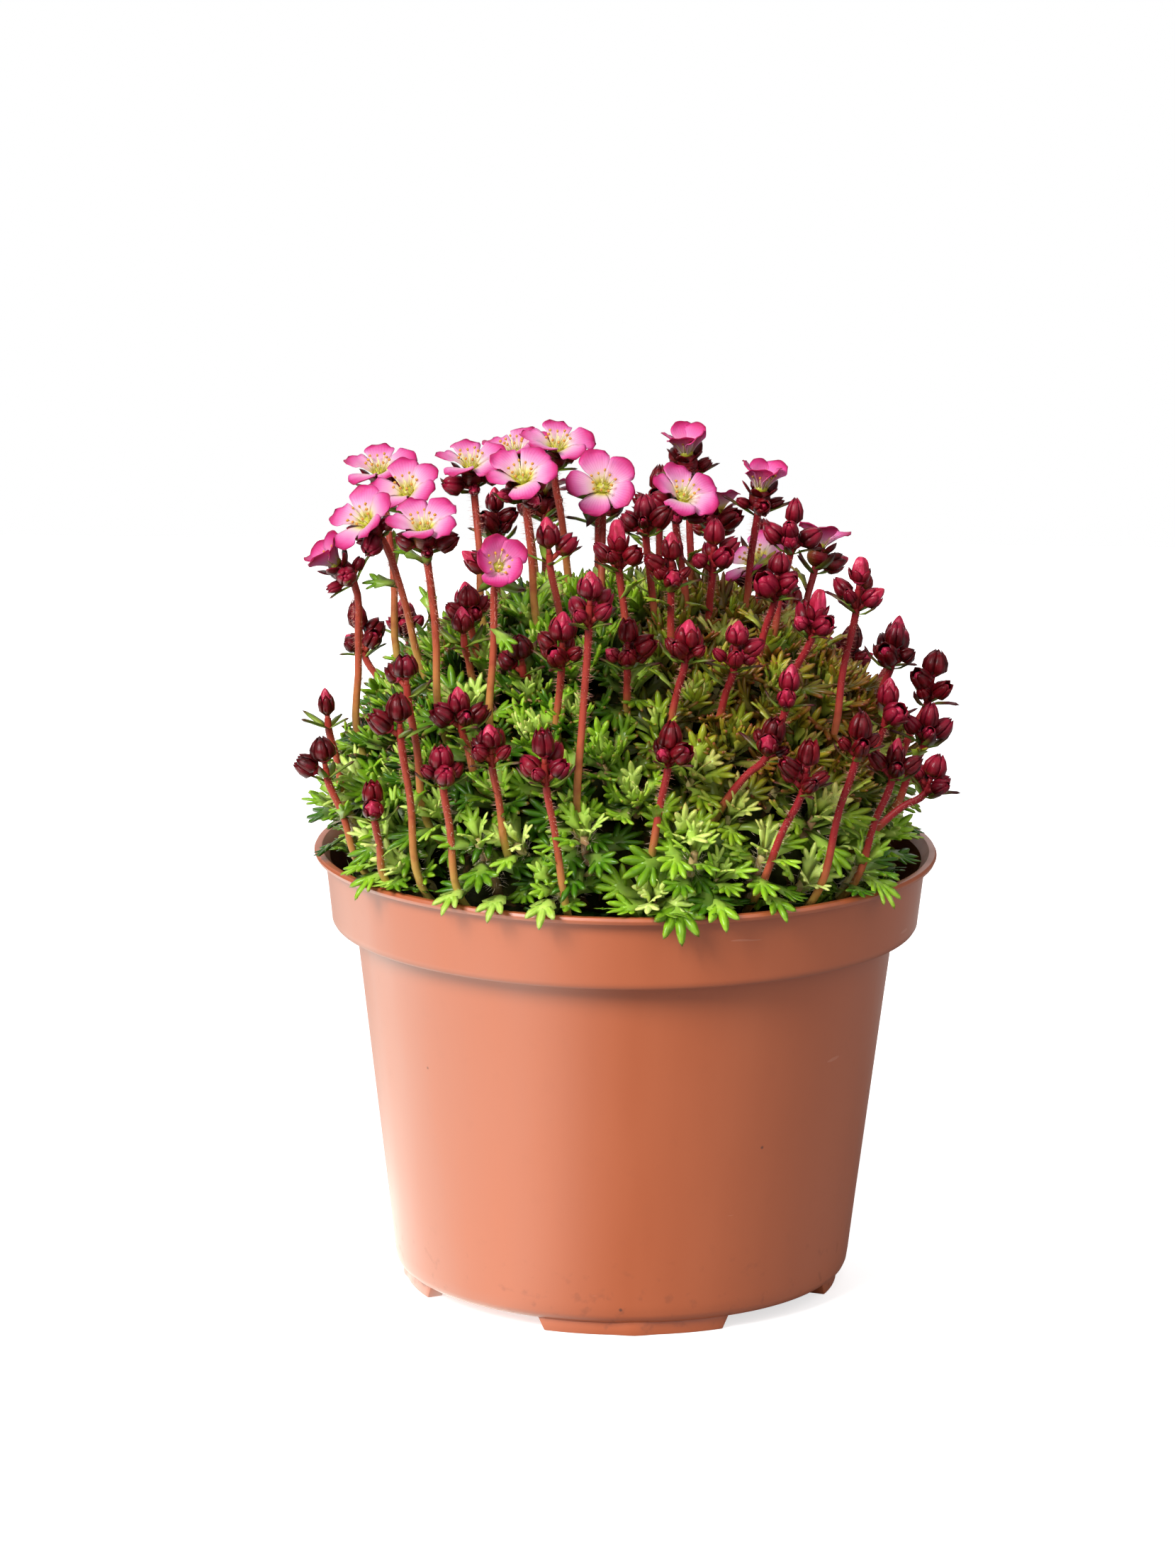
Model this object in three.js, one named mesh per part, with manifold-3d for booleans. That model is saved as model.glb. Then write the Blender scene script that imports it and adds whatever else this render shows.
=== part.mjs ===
// Potted mossy saxifrage, in millimetres, +Z up. The origin is on the ground under the middle of the pot,
// and -Y is the front.
import * as THREE from 'three';
import { mergeVertices } from 'three/addons/utils/BufferGeometryUtils.js';
import Module from 'manifold-3d';

const wasm = await Module();
wasm.setup();

// Driving dimensions
const RIM_RADIUS = 60;
const RIM_TOP = 85.5;
const WALL = 1;
const COLLAR_TOP_RADIUS = 57.9;
const COLLAR_FOOT_RADIUS = 56.4;
const COLLAR_FOOT = 71.1;
const BODY_TOP_RADIUS = 53;
const BODY_FOOT_RADIUS = 44;
const FOOT_HEIGHT = 2.7;
const FOOT_RADIUS = 42;
const FOOT_WIDTH = 3.2;
const FOOT_ANGLE = 52 * Math.PI / 180;
const FOOT_TURN = 3.7 * Math.PI / 180;
const FOOT_COUNT = 4;
const DRAIN_RADIUS = 4;
const DRAIN_CIRCLE = 28;
const DRAIN_COUNT = 6;
const POT_SIDES = 40;
const POT_FLOOR = FOOT_HEIGHT + 1.8;
const POT_LEDGE = COLLAR_FOOT + WALL + 0.1;
const GAP = 0.3;
const COMPOST_TOP = 78;
const ROOTSTOCK_RADIUS = 5;
const ROOTSTOCK_DEPTH = 14;
const MOUND_RADIUS = 56;
const MOUND_HEIGHT = 46;
const CUSHION_REACH = 65.8;
const CORE_DEPTH = 6.5;
const ROSETTE_COUNT = 84;
const ROSETTE_TURNS = 5;
const SHOOT_RADIUS = 1.35;
const SHOOT_ROOM = 2.8;
const LEAF_LENGTH = 11;
const LEAF_HALF_THICKNESS = 0.5;
const LEAF_CURL = 0.5;
const LEAF_SPACING = 1.9;
const OVER_RIM = 0.8;
const PAST_RIM = 1.5;
const STEM_RADIUS = 0.85;
const STEM_CLEARANCE = 0.9;
const FORK_HEIGHT = 1.8;
const NODE_LENGTH = 2.2;
const BRACT_REACH = 4.6;
const BRACT_RISE = 2.4;
const BUD_RADIUS = 2.1;
const BUD_BELLY = 1.9;
const BUD_LENGTH = 5.4;
const CUP_RADIUS = 1.9;
const BLOOM_RADIUS = 6.4;
const BLOOM_STALK = 4.7;
const BLOOM_EYE_RADIUS = 1.3;
const PETAL_COUNT = 5;
const PETAL_RISE = 0.42;

// The flower stems that stand together at one root are a spray. A stem is [root x, root y, head x, head y,
// head height over the rim, side buds], and an open flower adds how far it leans to +X and to +Y.
const SPRAYS = [
  [[-50, -11, -55, -14, 57, 2, -0.9, -0.2], [-38, -12, -49, -20, 66, 2, -0.8, -0.8]],
  [[-43, 6, -48, 12, 70, 1, -0.15, -0.35], [-35, -3, -42, -4, 69, 1, -0.25, -0.6]],
  [[-34, -31, -38, -33, 67, 3, -0.1, -0.45], [-29, -23, -31, -25, 49, 0]],
  [[-27, -8, -30, -4, 74, 2, -0.1, -0.35], [-28, -19, -30, -20, 52, 2]],
  [[-17, 13, -22, 18, 73, 0, -0.2, -0.2], [-11, 8, -14, 6, 76, 1, 0.1, -0.4]],
  [[-17, -14, -20, -18, 74, 2, -0.1, -0.6], [-5, -9, -5, -8, 71, 1, 0, -1.3]],
  [[-25, -38, -24, -43, 62, 1, 0.25, -1.5], [-18, -30, -20, -33, 45, 1]],
  [[-11, -30, -15, -32, 66, 1], [-13, -41, -12, -46, 49, 3]],
  [[-9, -52, -7, -52, 58, 3]],
  [[0, -25, -2, -26, 64, 2], [5, -17, 3, -19, 69, 2]],
  [[11, -11, 10, -13, 70, 2, 0.3, -0.7], [8, -25, 8, -28, 61, 3]],
  [[12, 12, 11, 14, 74, 2, -0.1, -0.25]],
  [[15, -16, 16, -18, 62, 3], [27, -12, 31, -12, 65, 3]],
  [[22, -1, 25, -2, 70, 2, 0.1, -0.2]],
  [[25, 9, 25, 6, 54, 1, -0.6, -0.3], [33, 15, 37, 20, 55, 1, 0.2, 0.2]],
  [[24, -22, 28, -25, 58, 3], [28, -31, 35, -35, 53, 2]],
  [[38, -28, 43, -28, 57, 3], [46, -22, 49, -25, 35, 1]],
  [[47, -3, 51, -5, 42, 2], [51, -10, 58, -11, 36, 3]],
  [[51, -18, 57, -21, 30, 2], [47, -28, 58, -28, 22, 2]],
  [[43, -37, 50, -40, 27, 2], [36, -44, 43, -47, 33, 2]],
  [[25, -50, 33, -56, 28, 3], [18, -48, 27, -53, 34, 2]],
  [[5, -54, 8, -57, 33, 2]],
  [[-11, -56, -15, -60, 30, 3]],
  [[-22, -50, -25, -56, 33, 2], [-28, -41, -31, -45, 37, 2]],
  [[-31, -48, -34, -52, 28, 2], [-38, -43, -42, -48, 36, 1]],
  [[-37, -39, -41, -42, 43, 1]],
  [[-45, -38, -47, -42, 19, 1], [-50, -28, -57, -28, 24, 1]],
  [[-53, -14, -57, -16, 31, 0]],
  [[0, -38, 0, -42, 48, 3], [8, -41, 11, -46, 50, 2]],
  [[17, -38, 20, -43, 48, 3], [26, -40, 30, -42, 41, 1]],
];
// At the back the stems stand by rule, in an inner row of six, two of them in flower, and an outer row
// of nine.
const BACK_ROWS = [
  { count: 6, radius: 32, height: 58, lean: 2, from: 0.16, blooms: [1, 4] },
  { count: 9, radius: 49, height: 33, lean: 6, from: 0.06, blooms: [] },
];
const LEAF_LIFTS = [0.25, 0.85, 0.35, 0.95, 0.6];
// A leaf that would cross something tries these bends and shares of its length in turn.
const LEAF_BENDS = [[0, 1], [0.25, 1], [-0.25, 1], [0.5, 0.9], [-0.5, 0.9], [0.3, 0.7], [0, 0.6]];

const UP = new THREE.Vector3(0, 0, 1);
const vec = (x, y, z) => new THREE.Vector3(x, y, z);

// A repeatable draw from 0 to 1 for the place i and the use k.
function draw(i, k) {
  const s = Math.sin(i * 127.1 + k * 311.7) * 43758.5453;
  return s - Math.floor(s);
}

// A closed skin that grows ring by ring. A ring runs anticlockwise, seen from where the growth points.
class Skin {
  points = [];
  faces = [];

  point(p) {
    this.points.push(p.clone());
    return this.points.length - 1;
  }

  // Corners around centre, the first one nearest to toward, wide across it and thick along it.
  ring(centre, axis, toward, across, along = across, sides = 4) {
    const u = toward.clone().addScaledVector(axis, -toward.dot(axis)).normalize();
    const v = axis.clone().cross(u);
    return Array.from({ length: sides }, (_, i) => {
      const a = 2 * Math.PI * i / sides;
      const out = u.clone().multiplyScalar(across * Math.cos(a)).addScaledVector(v, along * Math.sin(a));
      return this.point(out.add(centre));
    });
  }

  // The wall from ring a to ring b. The sides in open stay open and come back as rings of four.
  wall(a, b, open = []) {
    const gates = [];
    a.forEach((_, i) => {
      const j = (i + 1) % a.length;
      if (open.includes(i)) gates.push([a[i], a[j], b[j], b[i]]);
      else this.faces.push(a[i], a[j], b[j], a[i], b[j], b[i]);
    });
    return gates;
  }

  tip(ring, p) {
    const t = this.point(p);
    ring.forEach((a, i) => this.faces.push(a, ring[(i + 1) % ring.length], t));
  }

  // Closes a ring, with the face pointing along the growth, or against it at the start.
  cap(ring, start = false) {
    for (let i = 1; i + 1 < ring.length; i++) {
      if (start) this.faces.push(ring[0], ring[i + 1], ring[i]);
      else this.faces.push(ring[0], ring[i], ring[i + 1]);
    }
  }

  // A blade out of a gate of four: the outline runs from one side of its root to the other, and the middle
  // of the blade is thick while its edge is sharp.
  blade(gate, outline, middle, thick) {
    const rim = outline.map((p) => this.point(p));
    const [lowA, lowB, highB, highA] = gate;
    const high = this.point(middle.clone().add(thick));
    const low = this.point(middle.clone().sub(thick));
    const top = [highB, ...rim, highA];
    const bottom = [lowB, ...rim, lowA];
    top.forEach((p, i) => this.faces.push(top[(i + 1) % top.length], p, high));
    bottom.forEach((p, i) => this.faces.push(p, bottom[(i + 1) % bottom.length], low));
    this.faces.push(lowB, highB, rim[0]);
    this.faces.push(lowA, rim.at(-1), highA);
  }

  geometry() {
    const made = new THREE.BufferGeometry();
    const numbers = this.points.flatMap((p) => p.toArray());
    made.setAttribute('position', new THREE.Float32BufferAttribute(numbers, 3));
    made.setIndex(this.faces);
    return made;
  }
}

function toSolid(geometry) {
  const bare = geometry.clone();
  bare.deleteAttribute('normal');
  bare.deleteAttribute('uv');
  const merged = mergeVertices(bare, 1e-4);
  return new wasm.Manifold(new wasm.Mesh({
    numProp: 3,
    vertProperties: Float32Array.from(merged.attributes.position.array),
    triVerts: Uint32Array.from(merged.index.array),
  }));
}

function toGeometry(solid) {
  const mesh = solid.getMesh();
  const made = new THREE.BufferGeometry();
  made.setAttribute('position', new THREE.BufferAttribute(mesh.vertProperties, 3));
  made.setIndex(new THREE.BufferAttribute(mesh.triVerts, 1));
  return made;
}

function lathe(profile, sides) {
  const turned = new THREE.LatheGeometry(profile.map(([r, z]) => new THREE.Vector2(r, z)), sides);
  return turned.rotateX(Math.PI / 2);
}

const LOOKS = {
  pot: { color: 0xb9684a, roughness: 0.42, metalness: 0 },
  compost: { color: 0x241b15, roughness: 0.95, metalness: 0 },
  cushion: { color: 0x7da33a, roughness: 0.5, metalness: 0 },
  spray: { color: 0x6b2430, roughness: 0.45, metalness: 0 },
  bloom: { color: 0xe1679b, roughness: 0.6, metalness: 0 },
};

const saxifrage = new THREE.Group();

function place(name, geometry, look) {
  const shown = geometry.index ? geometry : mergeVertices(geometry);
  shown.computeVertexNormals();
  const mesh = new THREE.Mesh(shown, new THREE.MeshStandardMaterial(LOOKS[look]));
  mesh.name = name;
  saxifrage.add(mesh);
}

// Pot
function foot(turn) {
  const shape = new THREE.Shape();
  const half = FOOT_ANGLE / 2;
  const outer = [[-1, 0], [-0.5, 0], [-0.27, 0], [-0.2, 0.5], [0.2, 0.5], [0.27, 0], [0.5, 0], [1, 0]];
  const at = (share, radius) => [radius * Math.cos(share * half), radius * Math.sin(share * half)];
  outer.forEach(([share, bulge], i) => {
    const [x, y] = at(share, FOOT_RADIUS + bulge);
    if (i === 0) shape.moveTo(x, y);
    else shape.lineTo(x, y);
  });
  [1, 0.4, -0.4, -1].forEach((share) => shape.lineTo(...at(share, FOOT_RADIUS - FOOT_WIDTH)));
  shape.closePath();
  const depth = FOOT_HEIGHT + GAP;
  const block = new THREE.ExtrudeGeometry(shape, { depth, bevelEnabled: false });
  const p = block.attributes.position;
  for (let i = 0; i < p.count; i++) {
    if (p.getZ(i) > 0) continue;
    const radius = Math.hypot(p.getX(i), p.getY(i));
    const angle = Math.atan2(p.getY(i), p.getX(i)) * 0.92;
    p.setXY(i, radius * Math.cos(angle), radius * Math.sin(angle));
  }
  return block.rotateZ(turn);
}

function pot() {
  const shell = lathe([
    [0, FOOT_HEIGHT],
    [FOOT_RADIUS + 0.5, FOOT_HEIGHT],
    [BODY_FOOT_RADIUS, POT_FLOOR],
    [BODY_TOP_RADIUS, COLLAR_FOOT],
    [COLLAR_FOOT_RADIUS, COLLAR_FOOT],
    [COLLAR_TOP_RADIUS, RIM_TOP - 1.4],
    [RIM_RADIUS - 0.2, RIM_TOP - 1.2],
    [RIM_RADIUS, RIM_TOP - 0.5],
    [RIM_RADIUS - 0.3, RIM_TOP],
    [RIM_RADIUS - 1.6, RIM_TOP],
    [COLLAR_TOP_RADIUS - WALL, RIM_TOP - 1.6],
    [COLLAR_FOOT_RADIUS - WALL, POT_LEDGE],
    [BODY_TOP_RADIUS - WALL, POT_LEDGE],
    [BODY_FOOT_RADIUS - WALL - 0.2, POT_FLOOR],
    [0, POT_FLOOR],
  ], POT_SIDES);
  let solid = toSolid(shell);
  for (let i = 0; i < FOOT_COUNT; i++) {
    solid = solid.add(toSolid(foot(FOOT_TURN + 2 * (i - 1) * Math.PI / FOOT_COUNT)));
  }
  for (let i = 0; i < DRAIN_COUNT; i++) {
    const a = 2 * Math.PI * i / DRAIN_COUNT;
    const hole = new THREE.CylinderGeometry(DRAIN_RADIUS, DRAIN_RADIUS, 8, 8).rotateX(Math.PI / 2);
    hole.translate(DRAIN_CIRCLE * Math.cos(a), DRAIN_CIRCLE * Math.sin(a), FOOT_HEIGHT + 2);
    solid = solid.subtract(toSolid(hole));
  }
  return toGeometry(solid);
}

// Compost
function rootHole(radius, depth, from) {
  return new THREE.CylinderGeometry(radius, radius * 0.6, depth, 6).rotateX(Math.PI / 2)
    .translate(0, 0, from - depth / 2);
}

function compost() {
  const floor = POT_FLOOR + GAP;
  const ledge = POT_LEDGE + GAP;
  const fill = lathe([
    [0, floor],
    [BODY_FOOT_RADIUS - WALL - 0.6, floor],
    [BODY_TOP_RADIUS - WALL - 0.4, ledge - 0.9],
    [BODY_TOP_RADIUS - WALL - 0.3, ledge],
    [COLLAR_FOOT_RADIUS - WALL - 0.4, ledge],
    [COLLAR_FOOT_RADIUS - WALL, COMPOST_TOP - 2],
    [50, COMPOST_TOP],
    [0, COMPOST_TOP],
  ], POT_SIDES / 2);
  const hole = rootHole(ROOTSTOCK_RADIUS + GAP, ROOTSTOCK_DEPTH + GAP + 3, COMPOST_TOP + 3);
  return toGeometry(toSolid(fill).subtract(toSolid(hole)));
}

// The mound of the cushion, as its height over the rim at a radius. Each layer below it shrinks it.
function moundHeight(radius, depth = 0) {
  const share = Math.min(radius / (MOUND_RADIUS - depth), 1);
  return (MOUND_HEIGHT - depth) * (1 - share ** 2.4) ** 0.6;
}

// The core of the cushion is a plain mound that the leaves stand out of.
function core() {
  const radius = MOUND_RADIUS - CORE_DEPTH;
  const profile = [[0, COMPOST_TOP + GAP], [radius - 5, COMPOST_TOP + GAP], [radius - 1, RIM_TOP - 1]];
  [0.999, 0.92, 0.76, 0.54, 0.28].forEach((share) => {
    profile.push([radius * share, RIM_TOP + moundHeight(radius * share, CORE_DEPTH)]);
  });
  profile.push([0, RIM_TOP + MOUND_HEIGHT - CORE_DEPTH]);
  const dome = toSolid(lathe(profile, 18));
  return dome.add(toSolid(rootHole(ROOTSTOCK_RADIUS, ROOTSTOCK_DEPTH + 3, COMPOST_TOP + 3)));
}

const coreMesh = new THREE.Mesh(toGeometry(core()));
coreMesh.geometry.computeVertexNormals();

const bulbs = [];
const stalks = [];

// Buds, bracts and calyces
function bud(skin, gate, from, axis, toward, size, neck) {
  const belly = from.clone().addScaledVector(axis, neck + BUD_BELLY * size);
  const waist = skin.ring(belly, axis, toward, BUD_RADIUS * size);
  skin.wall(gate, waist);
  skin.tip(waist, from.clone().addScaledVector(axis, neck + BUD_LENGTH * size));
  bulbs.push({ at: belly.addScaledVector(axis, 0.6 * size), radius: (BUD_RADIUS + 0.5) * size });
}

function middleOf(skin, gate) {
  const sum = vec(0, 0, 0);
  gate.forEach((i) => sum.add(skin.points[i]));
  return sum.multiplyScalar(1 / gate.length);
}

// The head of a stem: a piece with four sides, two for bracts and two for side buds, then the last bud or
// the calyx of an open flower.
function head(skin, ring, at, axis, toward, sideBuds, open, seed) {
  const node = skin.ring(at.clone().addScaledVector(axis, NODE_LENGTH), axis, toward, STEM_RADIUS);
  const gates = skin.wall(ring, node, [0, 1, 2, 3]);
  gates.forEach((gate, i) => {
    const from = middleOf(skin, gate);
    const out = from.clone().sub(at);
    out.addScaledVector(axis, -out.dot(axis)).normalize();
    if (i % 2 === 0) {
      const rise = BRACT_RISE + draw(seed, i);
      const end = from.clone().addScaledVector(out, BRACT_REACH).addScaledVector(axis, rise);
      skin.tip(gate, end);
      stalks.push([from, end]);
    } else if (sideBuds > (i - 1) / 2) {
      const size = 0.8 + 0.2 * draw(seed, i + 7);
      const way = out.clone().addScaledVector(axis, open ? 0.45 : 0.8).normalize();
      const first = skin.points[gate[0]].clone().sub(from);
      bud(skin, gate, from, way, first, size, 1.5);
    } else {
      skin.cap(gate);
    }
  });
  if (open) {
    const cup = skin.ring(at.clone().addScaledVector(axis, 2 * NODE_LENGTH), axis, toward, CUP_RADIUS);
    skin.wall(node, cup);
    skin.cap(cup);
    return;
  }
  let last = node;
  let from = at.clone().addScaledVector(axis, NODE_LENGTH);
  let neck = sideBuds ? 1.8 : 0.8;
  if (sideBuds > 2) {
    from = at.clone().addScaledVector(axis, 2 * NODE_LENGTH);
    last = skin.ring(from, axis, toward, STEM_RADIUS * 0.9);
    const [gate] = skin.wall(node, last, [0]);
    const start = middleOf(skin, gate);
    const out = start.clone().sub(at);
    out.addScaledVector(axis, -out.dot(axis)).normalize();
    const way = out.addScaledVector(axis, 0.7).normalize();
    bud(skin, gate, start, way, skin.points[gate[0]].clone().sub(start), 0.85, 1.2);
    neck = 1.4;
  }
  bud(skin, last, from, axis, toward, 1, neck);
}

function bloomAxis(stem) {
  return stem.length > 6 ? vec(stem[6], stem[7], 1).normalize() : null;
}

// The points that a stem runs through: its start, where it leaves the leaves, a bend and its head.
function stemRoute(stem, start) {
  const [rootX, rootY, headX, headY, height] = stem;
  const root = vec(rootX, rootY, RIM_TOP + moundHeight(Math.hypot(rootX, rootY)) + 2);
  const top = vec(headX, headY, RIM_TOP + height);
  const axis = bloomAxis(stem);
  const reach = axis ? BLOOM_STALK : 5.5;
  const last = axis ?? top.clone().sub(root).normalize().add(UP).normalize();
  const end = top.clone().addScaledVector(last, -reach);
  const bend = root.clone().lerp(end, 0.55);
  bend.z += 0.06 * root.distanceTo(end);
  return { points: [start, root, bend, end], last };
}

function directions({ points, last }) {
  return points.map((p, i) => {
    const before = i ? p.clone().sub(points[i - 1]).normalize() : vec(0, 0, 0);
    const after = i === points.length - 1 ? last.clone() : points[i + 1].clone().sub(p).normalize();
    return after.add(before).normalize();
  });
}

// The place on the core that is nearest to a point of the plan, with the way that its surface faces.
function seat(x, y) {
  const middle = vec(0, 0, RIM_TOP + MOUND_HEIGHT / 4);
  const way = vec(x, y, RIM_TOP + moundHeight(Math.hypot(x, y))).sub(middle);
  const outside = middle.clone().addScaledVector(way, 2);
  const [hit] = new THREE.Raycaster(outside, way.negate().normalize()).intersectObject(coreMesh);
  return { at: hit.point, way: hit.face.normal };
}

// The stems of a spray stand on one foot, just clear of the core, where a second stem forks off the first.
function spray(stems, seed) {
  const middle = [0, 1].map((i) => stems.reduce((sum, stem) => sum + stem[i], 0) / stems.length);
  const { at, way } = seat(...middle);
  const foot = at.clone().addScaledVector(way, GAP);
  const fork = foot.clone().addScaledVector(way, FORK_HEIGHT);
  const [first, second = [first[0] + 1, first[1]]] = stems;
  const spread = vec(second[0] - first[0], second[1] - first[1], 0).normalize();
  const toward = spread.clone().applyAxisAngle(way, -Math.PI / 4);
  const skin = new Skin();
  const low = skin.ring(foot, way, toward, STEM_RADIUS);
  const high = skin.ring(fork, way, toward, STEM_RADIUS);
  skin.cap(low, true);
  const [gate] = skin.wall(low, high, stems.length > 1 ? [0] : []);
  stems.forEach((stem, k) => {
    const start = k ? middleOf(skin, gate) : fork;
    const route = stemRoute(stem, start);
    const ways = directions(route);
    const corner = k ? skin.points[gate[0]].clone().sub(start) : toward;
    const rings = [k ? gate : high];
    route.points.slice(1).forEach((p, i) => rings.push(skin.ring(p, ways[i + 1], corner, STEM_RADIUS)));
    for (let i = 1; i < rings.length; i++) skin.wall(rings[i - 1], rings[i]);
    const inFlower = stem.length > 6;
    head(skin, rings.at(-1), route.points.at(-1), route.last, corner, stem[5], inFlower, seed * 2 + k);
    stalks.push([foot, ...route.points]);
  });
  return skin.geometry();
}

// Open flowers
function bloom(stem) {
  const skin = new Skin();
  const [low, high] = [0, 0.9].map((z) => {
    return skin.ring(vec(0, 0, z), UP, vec(1, 0, 0), BLOOM_EYE_RADIUS, BLOOM_EYE_RADIUS, PETAL_COUNT);
  });
  skin.cap(low, true);
  const gates = skin.wall(low, high, low.map((_, i) => i));
  gates.forEach((gate, i) => {
    const angle = (i + 0.5) * 2 * Math.PI / PETAL_COUNT;
    const out = vec(Math.cos(angle), Math.sin(angle), 0);
    const side = vec(-out.y, out.x, 0);
    const on = (far, across) => {
      const rise = 0.4 + PETAL_RISE * (far - 1.1) - 0.03 * (far - 1.1) ** 2;
      return out.clone().multiplyScalar(far).addScaledVector(side, across).addScaledVector(UP, rise);
    };
    const outline = [[3.6, 2.1], [5.7, 1.8], [BLOOM_RADIUS, 0], [5.7, -1.8], [3.6, -2.1]];
    skin.blade(gate, outline.map(([far, across]) => on(far, across)), on(3.9, 0), vec(0, 0, 0.42));
  });
  const top = skin.point(vec(0, 0, 2.6));
  high.forEach((a, i) => {
    const b = high[(i + 1) % PETAL_COUNT];
    const angle = (i + 0.5) * 2 * Math.PI / PETAL_COUNT;
    skin.tip([a, b, top], vec(2.3 * Math.cos(angle), 2.3 * Math.sin(angle), 3.6));
  });
  const turn = new THREE.Quaternion().setFromUnitVectors(UP, bloomAxis(stem));
  return skin.geometry().applyQuaternion(turn).translate(stem[2], stem[3], RIM_TOP + stem[4]);
}

function backStem({ count, radius, height, lean, from, blooms }, row, i) {
  const angle = Math.PI * (from + (1 - 2 * from) * (i + 0.5) / count);
  const out = [Math.cos(angle), Math.sin(angle)];
  const root = out.map((c) => Math.round(c * radius));
  const top = out.map((c) => Math.round(c * (radius + lean)));
  const stem = [...root, ...top, Math.round(height + 6 * draw(i, row)), 1 + i % 3];
  return blooms.includes(i) ? [...stem, 0.2 * out[0], 0.4] : stem;
}

function backSprays() {
  const stemsOf = (set, row) => Array.from({ length: set.count }, (_, i) => backStem(set, row, i));
  const [inner, outer] = BACK_ROWS.map(stemsOf);
  return outer.map((stem, i) => (i % 4 ? [stem, inner[i - 1 - Math.floor(i / 4)]] : [stem]));
}

// Cushion
function nearestOnStalk(p, route) {
  let best = { gap: Infinity };
  for (let i = 1; i < route.length; i++) {
    const at = new THREE.Line3(route[i - 1], route[i]).closestPointToPoint(p, true, vec(0, 0, 0));
    if (at.distanceTo(p) < best.gap) best = { at, gap: at.distanceTo(p) };
  }
  return best;
}

// How far a point of a leaf is from what it must stay clear of. Under 0 it is too near.
function room(p) {
  const radius = Math.hypot(p.x, p.y);
  const past = radius - RIM_RADIUS - PAST_RIM;
  let best = radius > RIM_RADIUS - 6 ? p.z - RIM_TOP - OVER_RIM : p.z - COMPOST_TOP - 1.3;
  if (past >= 0) best = Math.min(past, CUSHION_REACH - radius);
  for (const route of stalks) {
    best = Math.min(best, nearestOnStalk(p, route).gap - STEM_RADIUS - STEM_CLEARANCE);
  }
  for (const { at, radius: size } of bulbs) best = Math.min(best, at.distanceTo(p) - size - 0.6);
  return best;
}

function apart(p, leafTips) {
  return leafTips.reduce((best, tip) => Math.min(best, tip.distanceTo(p) - LEAF_SPACING), Infinity);
}

function leafShape(from, out, axis, lift, length) {
  const side = axis.clone().cross(out);
  const low = out.clone().multiplyScalar(Math.cos(lift)).addScaledVector(axis, Math.sin(lift));
  const curled = lift - LEAF_CURL;
  const high = out.clone().multiplyScalar(Math.cos(curled)).addScaledVector(axis, Math.sin(curled));
  const on = (far, across) => {
    const p = from.clone().addScaledVector(low, Math.min(far, 0.5) * length);
    return p.addScaledVector(high, Math.max(far - 0.5, 0) * length).addScaledVector(side, across * length);
  };
  const outline = [[0.8, 0.46], [0.74, 0.19], [1, 0], [0.74, -0.19], [0.8, -0.46]];
  const thick = axis.clone().multiplyScalar(Math.cos(lift)).addScaledVector(out, -Math.sin(lift));
  return {
    outline: outline.map(([far, across]) => on(far, across)),
    middle: on(0.52, 0),
    thick: thick.multiplyScalar(LEAF_HALF_THICKNESS),
  };
}

function rosette(at, axis, seed, leafTips) {
  const skin = new Skin();
  const leaves = LEAF_LIFTS.length;
  const spin = draw(seed, 3) * Math.PI;
  const toward = vec(Math.cos(spin), Math.sin(spin), 0.01);
  const [low, high] = [-0.6, 0.5].map((along) => {
    const centre = at.clone().addScaledVector(axis, along);
    return skin.ring(centre, axis, toward, SHOOT_RADIUS, SHOOT_RADIUS, leaves);
  });
  skin.tip([...low].reverse(), at.clone().addScaledVector(axis, -3 - 2 * CORE_DEPTH));
  const gates = skin.wall(low, high, LEAF_LIFTS.map((_, i) => i));
  const made = [];
  gates.forEach((gate, i) => {
    const from = middleOf(skin, gate);
    const out = from.clone().sub(at);
    out.addScaledVector(axis, -out.dot(axis)).normalize();
    const length = LEAF_LENGTH * (0.9 + 0.2 * draw(seed, i + 11));
    let best = null;
    for (const [bend, share] of LEAF_BENDS) {
      const shape = leafShape(from, out, axis, LEAF_LIFTS[i] + bend, length * share);
      const ends = [...shape.outline, shape.middle, shape.middle.clone().lerp(shape.outline[2], 0.5)];
      const edge = [from, ...shape.outline, from];
      const between = (p, n) => [0.25, 0.5, 0.75].map((t) => p.clone().lerp(edge[n], t));
      const along = edge.slice(1).flatMap(between);
      const within = along.flatMap((p) => [0.33, 0.66].map((t) => p.clone().lerp(shape.middle, t)));
      const rooms = [...ends, ...along, ...within].map(room);
      const free = Math.min(...rooms, ...ends.map((p) => apart(p, leafTips)));
      if (!best || free > best.free) best = { free, shape, ends };
      if (free > 0) break;
    }
    if (best.free > -0.4) {
      skin.blade(gate, best.shape.outline, best.shape.middle, best.shape.thick);
      made.push(...best.ends);
    } else {
      skin.cap(gate);
    }
  });
  skin.tip(high, at.clone().addScaledVector(axis, 3.6));
  return { solid: toSolid(skin.geometry()), tips: made };
}

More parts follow.
